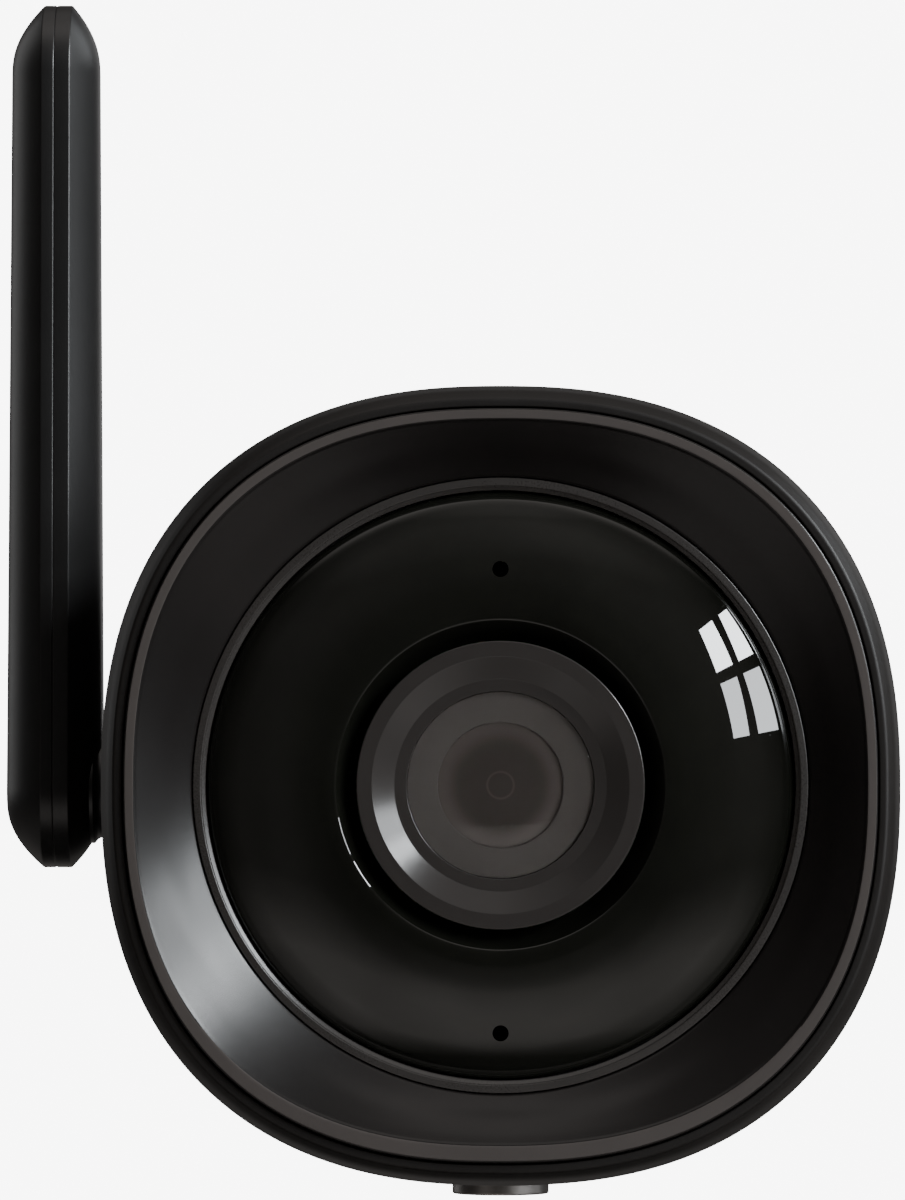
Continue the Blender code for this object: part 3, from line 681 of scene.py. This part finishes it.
def screw_post(bm, x, z):
    """A post for a rear screw, drawn out along the diagonal into the housing's corner."""
    outward = Vector((math.copysign(1, x), 0, math.copysign(1, z))).normalized()
    sideways = Vector((-outward.z, 0, outward.x))
    radius, reach = 3.0, 7.6
    outline = []
    for shift, first in ((reach, -90), (0.0, 90)):
        for step in range(17):
            angle = math.radians(first + 11.25 * step)
            out, aside = shift + radius * math.cos(angle), radius * math.sin(angle)
            outline.append(point(x, 0, z) + (outward * out + sideways * aside))
    extruded(bm, outline, *POST_DEPTHS)


# ---- Front: rim, hood, ring and cover ----
def bezel_hood():
    """The flat rim and the shallow funnel in it, which turns from a rounded square to a circle."""
    mouth = RING_RADIUS + 0.08
    ledge = RING_FRONT + 0.2
    seat = RING_BACK + 1.7
    rim_low = 33.75 / 34.4  # the rim's opening is lower below the lens than above it
    funnel = flowing([
        squared(34.25, 0.16, rim_low),
        (33.2, 0.78, 2.32, 0.983),
        (31.9, 1.62, 2.2, 0.988),
        (30.5, 2.62, 2.08, 0.995),
        (mouth + 0.1, ledge - 0.12, 2.0, 1.0),
    ], 10)
    front = softened([
        (squared(RIM_HALF, 3.0), 0),
        (squared(RIM_HALF, 0.0), 0.22),
        (squared(34.4, 0.0, rim_low), 0.20),
        (funnel[1], 0),
    ])
    back = softened([
        (funnel[-2], 0),
        (station(mouth, ledge), 0.15),
        (station(mouth, seat), 0),
        (station(26.3, seat), 0),
        (station(26.3, seat + 1.5), 0),
        (station(30.8, seat + 1.5), 0),
        (station(30.8, ledge + 2.2), 0),
        (squared(33.7, 3.0), 0),
        (squared(33.9, BEZEL_LENGTH), 0),
        (squared(RIM_HALF, BEZEL_LENGTH), 0),
    ])
    hood = loft("bezel_hood", lens_axis(), front + funnel[2:-1] + back[1:], AROUND, closed=True)
    stand_for(hood, "front_bezel", "hood")
    paint_flat_front(hood, MATERIALS["rim"], FRONT_Y)


def paint_flat_front(obj, material, plane_y):
    """Give the faces that lie flat in one plane a material of their own."""
    obj.data.materials.append(material)
    for face in obj.data.polygons:
        flat, near = face.normal.y < -0.97, abs(face.center.y / MM - plane_y) < 0.12
        if flat and near:
            face.material_index = 1


def cover_trim_ring():
    """The thin ring round the cover: a flat outer band and a bevelled inner strip."""
    outer, front, back = RING_RADIUS, RING_FRONT, RING_BACK
    profile = turned([
        (outer, back, 0),
        (outer, front + 0.1, 0.12),
        (outer - 0.72, front, 0.10),
        (outer - 0.82, front + 0.16, 0.05),
        (27.80, front + 0.40, 0.10),
        (27.80, back, 0),
    ], closed=True)
    ring = loft("cover_trim_ring", lens_axis(), profile, AROUND, closed=True)
    stand_for(ring, "cover_ring", "ring")


COVER_SLOPE = (  # (radius, depth behind the cover's crest), from the outer edge to the hole
    (COVER_RADIUS - 0.12, 3.62), (26.6, 3.05), (24.6, 2.1), (22.2, 1.2), (19.6, 0.5), (17.4, 0.1),
    (16.4, 0.0), (15.62, 0.02), (15.34, 0.22), (15.05, 0.74), (14.6, 1.5), (14.05, 2.45),
)
COVER_WALL = 1.5
PINHOLE_RADIUS = 0.76


def dome_cover():
    """The glossy cover: a ring-shaped dome that rolls over into the hole round the lens."""
    outside = flowing([station(radius, COVER_CREST + drop) for radius, drop in COVER_SLOPE], 8)
    inside = [station(radius + 0.15, depth + COVER_WALL)
              for radius, depth, *_ in reversed(outside) if 16.0 < radius < 26.0]
    hole = stations([
        (13.65, COVER_CREST + 2.9), (13.65, COVER_CREST + 3.2), (13.95, COVER_CREST + 3.2),
        (13.95, COVER_BACK - 0.1), (15.0, COVER_BACK - 0.1), (15.7, COVER_CREST + 2.4),
    ])
    flange = stations([(26.3, COVER_BACK), (COVER_RADIUS, COVER_BACK),
                       (COVER_RADIUS, outside[0][1] + 0.2)])
    loops = outside + hole + inside + flange
    cover = loft("dome_cover", lens_axis(), loops, AROUND * 2, closed=True)
    cutter = bmesh.new()
    for height in (UPPER_PINHOLE, LOWER_PINHOLE):
        pin = stations([(PINHOLE_RADIUS, -2), (PINHOLE_RADIUS, 12)])
        lofted(cutter, lens_axis(height=height), pin, SMALL_SIDES)
    combine(cover, cutter, "DIFFERENCE")
    stand_for(cover, "front_cover", "cover")


# ---- Lens ----
MOUTH_DEPTH = 1.05
PANE_FRONT = SHROUD_FRONT + MOUTH_DEPTH + 0.11
PANE_THICKNESS = 0.4
ELEMENT_RADIUS = 5.9
ELEMENT_CURVE = 70.0


def lens_shroud():
    """The ring round the lens: flat face, conical mouth, and a flat lip over the window."""
    front = SHROUD_FRONT
    step = front + MOUTH_DEPTH
    glass = step + 0.1
    seat = WINDOW_HIGH.y - FRONT_Y + 0.3
    profile = turned([
        (SHROUD_RADIUS, SHROUD_BACK, 0),
        (SHROUD_RADIUS, front, 0.16),
        (12.1, front, 0.05),
        (9.98, step, 0.05),
        (8.84, step, 0.04),
        (8.80, glass, 0),
        (9.0, glass, 0),
        (9.0, seat, 0),
        (7.7, seat, 0),
        (7.7, seat + 1.8, 0),
        (11.6, seat + 2.8, 0),
        (11.6, SHROUD_BACK, 0),
    ])
    shroud = loft("lens_shroud", lens_axis(), profile, AROUND, closed=True)
    stand_for(shroud, "lens_bezel", "shroud")


def lens_window():
    """The thin cover window and the dark border close behind it."""
    edge, back = WINDOW_HIGH.x, PANE_FRONT + PANE_THICKNESS
    pane = turned([
        (0.4, PANE_FRONT, 0), (edge, PANE_FRONT, 0.1), (edge, back, 0.1), (0.4, back, 0)])
    window = loft("lens_window_pane", lens_axis(), pane, LENS_SIDES)
    stand_for(window, "lens_window", "window")
    inner, outer = 5.93, 8.75
    front, rear = PANE_FRONT + 0.42, PANE_FRONT + 1.2
    rim = turned([(inner, front, 0.05), (outer, front, 0), (outer, rear, 0), (inner, rear, 0)],
                 closed=True)
    border = loft("lens_window_border", lens_axis(), rim, AROUND, closed=True)
    dress(border, MATERIALS["border"])
    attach(border, NODE_BODY["lens_window"])


def front_element():
    """The front lens element, shallowly domed."""
    back = round_size("front_lens")[2]
    front, curve, steps = PANE_FRONT + 0.48, ELEMENT_CURVE, 19
    loops = []
    for step in range(1, steps + 1):
        r = ELEMENT_RADIUS * step / steps
        loops.append(station(r, front + curve - math.sqrt(curve * curve - r * r)))
    loops += stations([(ELEMENT_RADIUS, back - 0.3), (ELEMENT_RADIUS - 0.3, back)])
    element = loft("front_lens_element", lens_axis(), loops, LENS_SIDES)
    stand_for(element, "front_lens", "lens")


def lens_barrel_piece():
    """The threaded barrel, with a fine step round the lens."""
    front, back = round_size("lens_barrel")[1:]
    loops = turned([
        (6.05, front + 1.9, 0), (6.05, front + 0.12, 0.10), (6.35, front, 0.08), (7.0, front, 0.2),
        (7.0, front + 4.8, 0.1), (6.0, front + 4.8, 0),
    ])
    pitch, depth = 0.5, front + 5.1
    while depth < back - 0.4:
        loops += stations([(5.98, depth), (5.72, depth + pitch / 2)])
        depth += pitch
    loops += stations([(5.8, back), (4.6, back), (4.6, front + 1.9)])
    barrel = loft("lens_barrel_piece", lens_axis(), loops, LENS_SIDES, closed=True)
    stand_for(barrel, "lens_barrel", "bezel")


# ---- Antenna ----
PADDLE_LOW_RADIUS = PIVOT.z - PADDLE_LOW.z
PADDLE_TIP_RADIUS = PADDLE_LOW_RADIUS - 0.7
PADDLE_SPAN = PADDLE_HIGH.z - PADDLE_TIP_RADIUS - PIVOT.z
PADDLE_X = ELEMENT.x
PADDLE_HALF_LOW = PADDLE_X - PADDLE_LOW.x + 0.03
PADDLE_HALF_TIP = PADDLE_HALF_LOW - 0.5
PADDLE_EDGE = 1.42  # half thickness at the edge, before the step between the two halves
EDGE_STEP = 0.29
SEAM_HALF = 0.13
PADDLE_CROWN = 6.5


def paddle_thickness(edge, inset, height):
    """Half the paddle's thickness at a distance in from its edge and a height above its pivot."""
    share = (height + PADDLE_LOW_RADIUS) / (PADDLE_SPAN + PADDLE_TIP_RADIUS + PADDLE_LOW_RADIUS)
    full = PADDLE_HALF_LOW + (PADDLE_HALF_TIP - PADDLE_HALF_LOW) * share
    rise = 1 - (1 - min(inset / PADDLE_CROWN, 1.0)) ** 2
    return edge + (full - edge) * rise


def straight_run(start, end, steps=20):
    """The points strictly between two ends."""
    return [mix(start, end, step / steps) for step in range(1, steps)]


def paddle_outline(inset):
    """(y, z) points round the paddle, pulled in by inset, about its pivot."""
    lean = math.asin((PADDLE_LOW_RADIUS - PADDLE_TIP_RADIUS) / PADDLE_SPAN)
    arcs = (
        (PADDLE_LOW_RADIUS - inset, 0.0, math.pi - lean, math.pi + 2 * lean),
        (PADDLE_TIP_RADIUS - inset, PADDLE_SPAN, lean, math.pi - 2 * lean),
    )
    ends = []
    for radius, height, first, sweep in arcs:
        angles = [first + sweep * step / SMALL_SIDES for step in range(SMALL_SIDES + 1)]
        ends.append([(radius * math.cos(a), height + radius * math.sin(a)) for a in angles])
    low_end, tip_end = ends
    up, down = straight_run(low_end[-1], tip_end[0]), straight_run(tip_end[-1], low_end[0])
    return low_end + up + tip_end + down


def paddle_shell(name, side, wall):
    """Half of the antenna's case. side is +1 for the half that faces the housing.

    Each ring is (inset from the edge, offset or None to follow the crown, how far it is sunk).
    """
    steps = 26
    flat = PADDLE_EDGE + side * EDGE_STEP
    seam = side * SEAM_HALF
    crown = [(PADDLE_CROWN * (1 - step / steps) ** 1.2, None, 0.0) for step in range(steps)]
    edge = [(0.05, None, 0.0), (0.0, flat - 0.08, 0.0), (0.0, seam + 0.15, 0.0),
            (0.08, seam + 0.01, 0.0), (1.4, seam + 0.01, 0.0)]
    inner = [(inset, None, wall) for inset in (1.4, 2.6, 4.2, PADDLE_CROWN)]
    bm = bmesh.new()
    rings = []
    for inset, fixed, sunk in crown + edge + inner:
        ring = []
        for y, z in paddle_outline(inset):
            offset = paddle_thickness(flat, inset, z) - sunk if fixed is None else fixed
            ring.append(bm.verts.new((PADDLE_X + side * offset, PIVOT.y + y, PIVOT.z + z)))
        rings.append(ring)
    bridge(bm, rings)
    bm.faces.new(rings[0])
    bm.faces.new(rings[-1])
    return finished(name, bm)


def antenna_shells():
    outer = paddle_shell("antenna_outer_half", -1, 1.3)
    stand_for(outer, "antenna_outer_shell", "antenna")
    inner = paddle_shell("antenna_inner_half", 1, 2.2)
    land = -41.9  # the flat that the knuckle stands on
    profile = ((land, -12.0), (land, 1.6), (land + 1.3, 6.0), (-30.0, 6.0), (-30.0, -12.0))
    cutter = bmesh.new()
    extruded(cutter, [PIVOT_AXIS[0] + Vector((x, 0, z)) for x, z in profile], Y * -12, Y * 12)
    combine(inner, cutter, "DIFFERENCE")
    knuckle = bmesh.new()
    loops = turned([
        (3.0, land - 0.7, 0), (5.6, land - 0.7, 0), (5.6, land, 0), (5.0, land + 0.5, 0.4),
        (5.0, -36.7, 0), (4.0, -36.7, 0), (4.0, -34.9, 0), (5.0, -34.9, 0), (5.0, -33.4, 0.2),
        (3.0, -33.4, 0)])
    lofted(knuckle, PIVOT_AXIS, loops, ROUND_SIDES)
    combine(inner, knuckle, "UNION")
    hole = bmesh.new()
    lofted(hole, PIVOT_AXIS, stations([(2.8, -45), (2.8, -30)]), ROUND_SIDES)
    combine(inner, hole, "DIFFERENCE")
    stand_for(inner, "antenna_inner_shell", "antenna")


# ---- Rear end ----
CAP_JOINT = 98.9  # where the cap's flange meets the housing's gasket
CAP_INSIDE = 107.4
SLOT_COUNT = 5
SLOT_PITCH = 3.2


def rear_cover():
    rows = (
        (1.0, REAR_DEPTH, 0), (27.4, REAR_DEPTH, 2.2), (31.0, REAR_DEPTH - 1.9, 2.2),
        (33.0, REAR_DEPTH - 5.6, 2.6), (CAP_HALF, CAP_JOINT, 0.2), (30.9, CAP_JOINT, 0),
        (30.9, 92.0, 0.3), (28.7, 92.0, 0.3), (28.7, 102.0, 1.0), (26.5, 106.0, 1.5),
        (20.0, CAP_INSIDE, 0), (1.0, CAP_INSIDE, 0),
    )
    profile = softened([(squared(half, depth), setback) for half, depth, setback in rows], steps=6)
    cap = loft("rear_cover", lens_axis(), profile, AROUND)
    extra = bmesh.new()
    inlet_axis = lens_axis(height=INLET.z - LENS_Z)
    lofted(extra, inlet_axis, stations([(8.2, 100.0), (8.2, 108.5)]), ROUND_SIDES)
    for x, z in SCREW_PLACES:
        lofted(extra, lens_axis(x, z), stations([(3.2, 91.8), (3.2, 108.5)]), SMALL_SIDES)
    combine(cap, extra, "UNION")
    cutter = bmesh.new()
    recess = stations([(4.3, 98), (4.3, 102.3), (6.6, 102.3), (6.6, REAR_DEPTH - 0.35),
                       (7.0, REAR_DEPTH + 0.05), (7.0, REAR_DEPTH + 2)])
    lofted(cutter, inlet_axis, recess, ROUND_SIDES)
    well = stations([(SCREW_BORE, 90), (SCREW_BORE, REAR_DEPTH - 2.2), (2.8, REAR_DEPTH - 2.2),
                     (2.8, REAR_DEPTH - 0.25), (3.1, REAR_DEPTH + 0.05), (3.1, REAR_DEPTH + 2)])
    for x, z in SCREW_PLACES:
        lofted(cutter, lens_axis(x, z), well, SMALL_SIDES)
    for number in range(SLOT_COUNT):
        place = number - SLOT_COUNT // 2
        centre = point(SLOT_PITCH * place, 0, SPEAKER.z - LENS_Z)
        slot = round_rect(centre, 0.6, 4.5 - 0.7 * abs(place), 0.55, X, Z)
        extruded(cutter, slot, Y * 104, Y * (REAR_DEPTH + 2))
    combine(cap, cutter, "DIFFERENCE")
    stand_for(cap, "rear_cap", "shell")


def rear_screw(number, x, z):
    """A flat-headed screw with a hexagonal socket."""
    tip, head = round_size(f"rear_screw_{number}")[1:]
    loops = turned([
        (0.3, head, 0), (2.5, head, 0.25), (2.5, head - 1.5, 0.15), (1.15, head - 1.5, 0)])
    pitch, depth = 0.6, head - 2.0
    while depth > tip + 0.8:
        loops += stations([(1.18, depth), (0.92, depth - pitch / 2)])
        depth -= pitch
    loops.append(station(0.3, tip))
    screw = loft(f"rear_screw_piece_{number}", lens_axis(x, z), loops, SMALL_SIDES)
    socket = bmesh.new()
    hexagon = 6
    lofted(socket, lens_axis(x, z), stations([(1.25, head - 1.0), (1.25, head + 0.5)]), hexagon)
    combine(screw, socket, "DIFFERENCE")
    stand_for(screw, f"rear_screw_{number}", "screw")


def power_jack():
    front, back = round_size("power_socket")[1:]
    loops = turned([
        (0.2, back - 0.8, 0), (1.0, back - 1.0, 0.3), (1.0, front + 2.0, 0), (2.9, front + 2.0, 0),
        (2.9, back - 0.2, 0.2), (3.2, back, 0.1), (4.0, back, 0.25), (4.0, back - 3.5, 0),
        (5.6, back - 3.5, 0.3), (5.6, front, 0.3), (0.5, front, 0)])
    jack = loft("power_jack", lens_axis(height=INLET.z - LENS_Z), loops, ROUND_SIDES)
    stand_for(jack, "power_socket", "component")


# ---- Underside ----
THREAD_PITCH = 1.27
THREAD_START, THREAD_END = 0.35, 9.9
THREAD_RADIUS, THREAD_DEPTH = 3.18, 0.46
THREAD_ROWS = 120


def thread_ring(row, sides):
    """One ring of points down the thread's helix, which fades out at both ends."""
    z = THREAD_START + (THREAD_END - THREAD_START) * row / THREAD_ROWS
    fade = min(1.0, row / 12, (THREAD_ROWS - row) / 8)
    ring = []
    for step in range(sides):
        phase = (z / THREAD_PITCH - step / sides) % 1.0
        crest = 1 - abs(2 * phase - 1)
        r = THREAD_RADIUS - THREAD_DEPTH * max(0.0, min(1.0, crest * 1.3 - 0.15)) * fade
        angle = 2 * math.pi * step / sides
        ring.append((r * math.cos(angle), r * math.sin(angle), z))
    return ring


def threaded_insert():
    """The metal socket: a turned sleeve with a real quarter-inch thread cut down its bore."""
    sides, outer, top = 72, INSERT_HIGH.x - 0.02, INSERT_HIGH.z
    loops = turned([(3.55, 0.0, 0), (outer, 0.0, 0.22), (outer, top, 0.2), (0.5, top, 0)])
    outside = [ring_points(MOUNT_AXIS, loop, sides) for loop in loops]
    inside = [thread_ring(row, sides) for row in range(THREAD_ROWS + 1)]
    inside.append(ring_points(MOUNT_AXIS, station(0.5, THREAD_END + 0.6), sides))
    bm = bmesh.new()
    rings = [[bm.verts.new(place) for place in ring] for ring in outside + inside]
    chain = rings[len(outside):][::-1] + rings[:len(outside)]
    bridge(bm, chain)
    bm.faces.new(chain[0])
    bm.faces.new(chain[-1])
    insert = finished("threaded_insert", bm)
    stand_for(insert, "mount_insert", "insert")


def card_door():
    """The door is cut from the housing's skin, with a hinge barrel and a fingernail notch."""
    door = loft("card_door_panel", lens_axis(), skin_loops(), AROUND, closed=True)
    tool = bmesh.new()
    extruded(tool, door_outline(), *THROUGH_UNDERSIDE)
    combine(door, tool, "INTERSECT")
    room = bmesh.new()
    behind = round_rect(point(0, HINGE_DEPTH + 1.0, 0), 6, 2.7, 0.2, X, Y, 2)
    extruded(room, behind, *THROUGH_UNDERSIDE)
    combine(door, room, "DIFFERENCE")
    extra = bmesh.new()
    barrel = stations([(1.05, -4.0), (1.3, -3.8), (1.3, 3.8), (1.05, 4.0)])
    lofted(extra, HINGE_AXIS, barrel, SMALL_SIDES)
    tab = round_rect(point(0, HINGE_DEPTH - 1.4, 0), 3.9, 1.5, 0.2, X, Y, 2)
    tab_low = HINGE.z - LENS_Z - 0.25
    extruded(extra, tab, Z * tab_low, Z * (tab_low + 1.45))
    combine(door, extra, "UNION")
    cutter = bmesh.new()
    lofted(cutter, HINGE_AXIS, stations([(0.62, -6), (0.62, 6)]), PIN_SIDES)
    notch = stations([(0.3, 0.0), (3.2, 0.0), (3.6, 0.9)])
    start = point(0, DOOR_FRONT + 0.3, 0)
    start.z = DOOR_LOW.z - 0.5
    lofted(cutter, (start, X, Y, Z), notch, SMALL_SIDES)
    combine(door, cutter, "DIFFERENCE")
    bevelled(door, 0.10, 55)
    stand_for(door, "card_cover", "shell")


# ---- Pieces behind the card door ----
def memory_card():
    """A small memory card with its stepped outline."""
    low, high = box_mm("memory_card")
    half, top, bottom = high.x, high.z, low.z
    centre_y, half_thickness = (low.y + high.y) / 2, 0.33
    outline = ((-half, bottom), (half, bottom), (half, bottom + 5.6), (half - 0.9, bottom + 6.4),
               (half - 0.9, top - 1.6), (half - 2.2, top), (-half + 0.4, top), (-half, top - 0.4))
    bm = bmesh.new()
    places = [Vector((x, 0, z)) for x, z in outline]
    extruded(bm, places, Y * (centre_y - half_thickness), Y * (centre_y + half_thickness))
    card = finished("memory_card_piece", bm, 30)
    bevelled(card, 0.08, 40)
    stand_for(card, "memory_card", "component")


def reset_cap():
    low, high = box_mm("reset_button")
    axis = upright_axis((low.x + high.x) / 2, (low.y + high.y) / 2)
    radius = (high.x - low.x) / 2
    loops = turned([
        (0.1, low.z + 0.15, 0), (radius * 0.55, low.z + 0.12, 0.3), (radius, low.z, 0.35),
        (radius, high.z, 0.2), (0.1, high.z, 0)])
    cap = loft("reset_cap", axis, loops, SMALL_SIDES)
    stand_for(cap, "reset_button", "pale")


# ---- Everything else keeps its CAD shape, with its own material ----
CARRIED = {
    "rubber": "front_gasket mic_boot rear_gasket card_seal pivot_oring",
    "board": "sensor_board ir_led_board main_board antenna_element",
    "component": "filter_housing filter_carrier image_sensor light_sensor microphone processor "
                 "reset_switch coax_lead speaker",
    "shroud": "lens_holder",
    "pale": "ribbon_cable",
    "lamp": "ir_led_1 ir_led_2 ir_led_3 ir_led_4",
    "steel": "wifi_module card_socket hinge_pin pivot_shaft pivot_clip",
    "brass": "focus_lock_ring board_standoff_1 board_standoff_2 board_standoff_3 board_standoff_4",
    "aluminium": "inner_frame heat_spreader",
    "copper": "filter_motor",
    "filter": "ir_cut_filter clear_filter",
    "lens": "rear_lens",
}


def dress_carried():
    for key, nodes in CARRIED.items():
        for node in nodes.split():
            dress(frame["nodes"][node], MATERIALS[key])


# ---- Studio ----
CAMERA_DISTANCE = 700.0
CAMERA_AIM = -4.5, 0, 17.36
DAYLIGHT = 0.93, 0.97, 1.0
PANE_SIZE = 0.28, 0.26
PANE_COLUMNS = -1.18, -0.78, -0.38  # world y, in metres
PANE_ROWS = (0.33, 26.0), (0.65, 72.0)  # height above the lens, in metres, and radiance
WHITE_LEVEL = 8.0  # the backdrop, seen by the camera alone
FLOOR_RADIUS, FLOOR_TOP, FLOOR_BOTTOM = 900, -60, -66


def make_camera():
    """The camera stands on the lens axis and aims a little up and left, to show the antenna."""
    data = bpy.data.cameras.new("camera")
    data.sensor_width = 36.0
    data.lens = 224.0
    data.clip_start = 0.05
    camera = bpy.data.objects.new("camera", data)
    stand = point(0, -CAMERA_DISTANCE, 0) * MM
    target = point(*CAMERA_AIM) * MM
    camera.location = stand
    camera.rotation_euler = (target - stand).to_track_quat("-Z", "Y").to_euler()
    bpy.context.scene.collection.objects.link(camera)
    bpy.context.scene.camera = camera


def area_light(name, place, target, size, radiance, colour=(1, 1, 1)):
    """A soft panel, given by how bright its face is."""
    data = bpy.data.lights.new(name, "AREA")
    data.shape = "RECTANGLE"
    data.size, data.size_y = size
    data.energy = radiance * math.pi * size[0] * size[1]
    data.color = colour
    lamp = bpy.data.objects.new(name, data)
    lamp.location = place
    lamp.rotation_euler = (Vector(target) - Vector(place)).to_track_quat("-Z", "Y").to_euler()
    lamp.visible_camera = False
    bpy.context.scene.collection.objects.link(lamp)


def window_wall():
    """A tall window ahead and to the right, in panes, a little above the lens."""
    lens = LENS_Z * MM
    for column, y in enumerate(PANE_COLUMNS):
        for row, (z, radiance) in enumerate(PANE_ROWS):
            place = Vector((1.0, y, lens + z))
            area_light(f"pane_{column}_{row}", place, place - X, PANE_SIZE, radiance, DAYLIGHT)


def make_lights():
    """A window at the right front, and soft panels at the right, at both rear sides and behind."""
    middle = point(0, 40, 0) * MM
    window_wall()
    area_light("right_side", (1.25, 0.24, 0.35), middle, (0.4, 1.0), 0.85, DAYLIGHT)
    area_light("left_rear", (-1.2, 0.95, 0.44), middle, (0.9, 1.0), 0.75)
    area_light("right_rear", (0.95, 0.70, 0.62), middle, (0.5, 0.5), 2.2, DAYLIGHT)
    area_light("rear_fill", (0.25, 1.5, 0.30), middle, (0.9, 0.6), 0.5)


# How bright the room is at each height of the view, from straight down to straight up.
ROOM_BANDS = (
    (-1.0, 0.03), (-0.80, 0.03), (-0.71, 0.27), (-0.45, 0.30), (-0.30, 0.12), (-0.22, 0.065),
    (0.55, 0.065), (0.78, 0.16), (0.92, 0.85), (1.0, 0.95),
)
# How bright it is at each depth of the view, from straight ahead of the lens to straight behind it.
ROOM_DEPTHS = (
    (-1.0, 1.0), (-0.66, 1.0), (-0.50, 0.28), (-0.25, 0.28), (-0.05, 0.42), (0.15, 0.25),
    (0.7, 0.25), (1.0, 0.6),
)
ROOM_STRENGTH = 16.0
CEILING_PATCH = 0.9  # how bright a patch of ceiling is, a little ahead of the object
PATCH_DEPTHS = ((-1.0, 0.0), (-0.56, 0.0), (-0.44, 1.0), (-0.28, 1.0), (-0.10, 0.1), (1.0, 0.1))
ROOM_TINT = 1.0, 0.94, 0.90


def room_tone(n):
    """A soft room: warm grey walls, darker straight ahead of the lens and towards the left."""
    x, y, z = n.add("ShaderNodeSeparateXYZ", n.place).outputs
    level = n.span(y, 0.12, 0.36, -1.0, -0.80, smooth=True)
    for factor in (
        n.span(x, 0.45, 0.55, -0.9, -0.4, smooth=True),
        n.span(n.noise(1.6, 2.0), 0.75, 1.2, 0.35, 0.65),
        n.times(n.toned(z, ROOM_BANDS), ROOM_STRENGTH),
        n.toned(y, ROOM_DEPTHS),
    ):
        level = n.times(level, factor)
    ceiling = n.span(z, 0.0, CEILING_PATCH, 0.60, 0.80, smooth=True)
    level = n.maths("ADD", level, n.times(ceiling, n.toned(y, PATCH_DEPTHS)))
    tint = n.add("ShaderNodeVectorMath", ROOM_TINT, operation="SCALE", Scale=level)
    return tint.outputs["Vector"]


def make_world():
    """The room lights the object, and the camera sees plain white behind it."""
    world = bpy.data.worlds.new("studio")
    bpy.context.scene.world = world
    world.use_nodes = True
    n = Tree(world.node_tree, "Generated")
    room = n.tree.nodes["Background"]
    n.put(room_tone(n), room.inputs["Color"])
    white = n.add("ShaderNodeBackground", Color=(1, 1, 1), Strength=WHITE_LEVEL)
    seen = n.add("ShaderNodeLightPath").outputs["Is Camera Ray"]
    chooser = n.add("ShaderNodeMixShader", seen, room.outputs[0], white.outputs[0])
    n.put(chooser.outputs[0], n.tree.nodes["World Output"].inputs["Surface"])


def make_floor():
    """A plain pale floor well below the object, which a stand would hold up."""
    bm = bmesh.new()
    angles = [step * math.pi / 48 for step in range(96)]
    outline = [Vector((FLOOR_RADIUS * math.cos(a), FLOOR_RADIUS * math.sin(a), 0)) for a in angles]
    extruded(bm, outline, Z * FLOOR_BOTTOM, Z * FLOOR_TOP)
    floor = finished("floor", bm)
    n = Nodes("pale_floor")
    n.colour(n.blend(n.noise(8, 3), (0.66, 0.625, 0.595), (0.71, 0.675, 0.645)))
    n.rough(n.span(n.noise(30, 3), 0.55, 0.65))
    dress(floor, n.material)
    floor.visible_glossy = False


def build():
    make_camera()
    housing_shell()
    bezel_hood()
    cover_trim_ring()
    dome_cover()
    lens_shroud()
    lens_window()
    front_element()
    lens_barrel_piece()
    antenna_shells()
    rear_cover()
    for number, (x, z) in enumerate(SCREW_PLACES, 1):
        rear_screw(number, x, z)
    power_jack()
    threaded_insert()
    card_door()
    memory_card()
    reset_cap()
    dress_carried()
    make_lights()
    make_world()
    make_floor()


build()
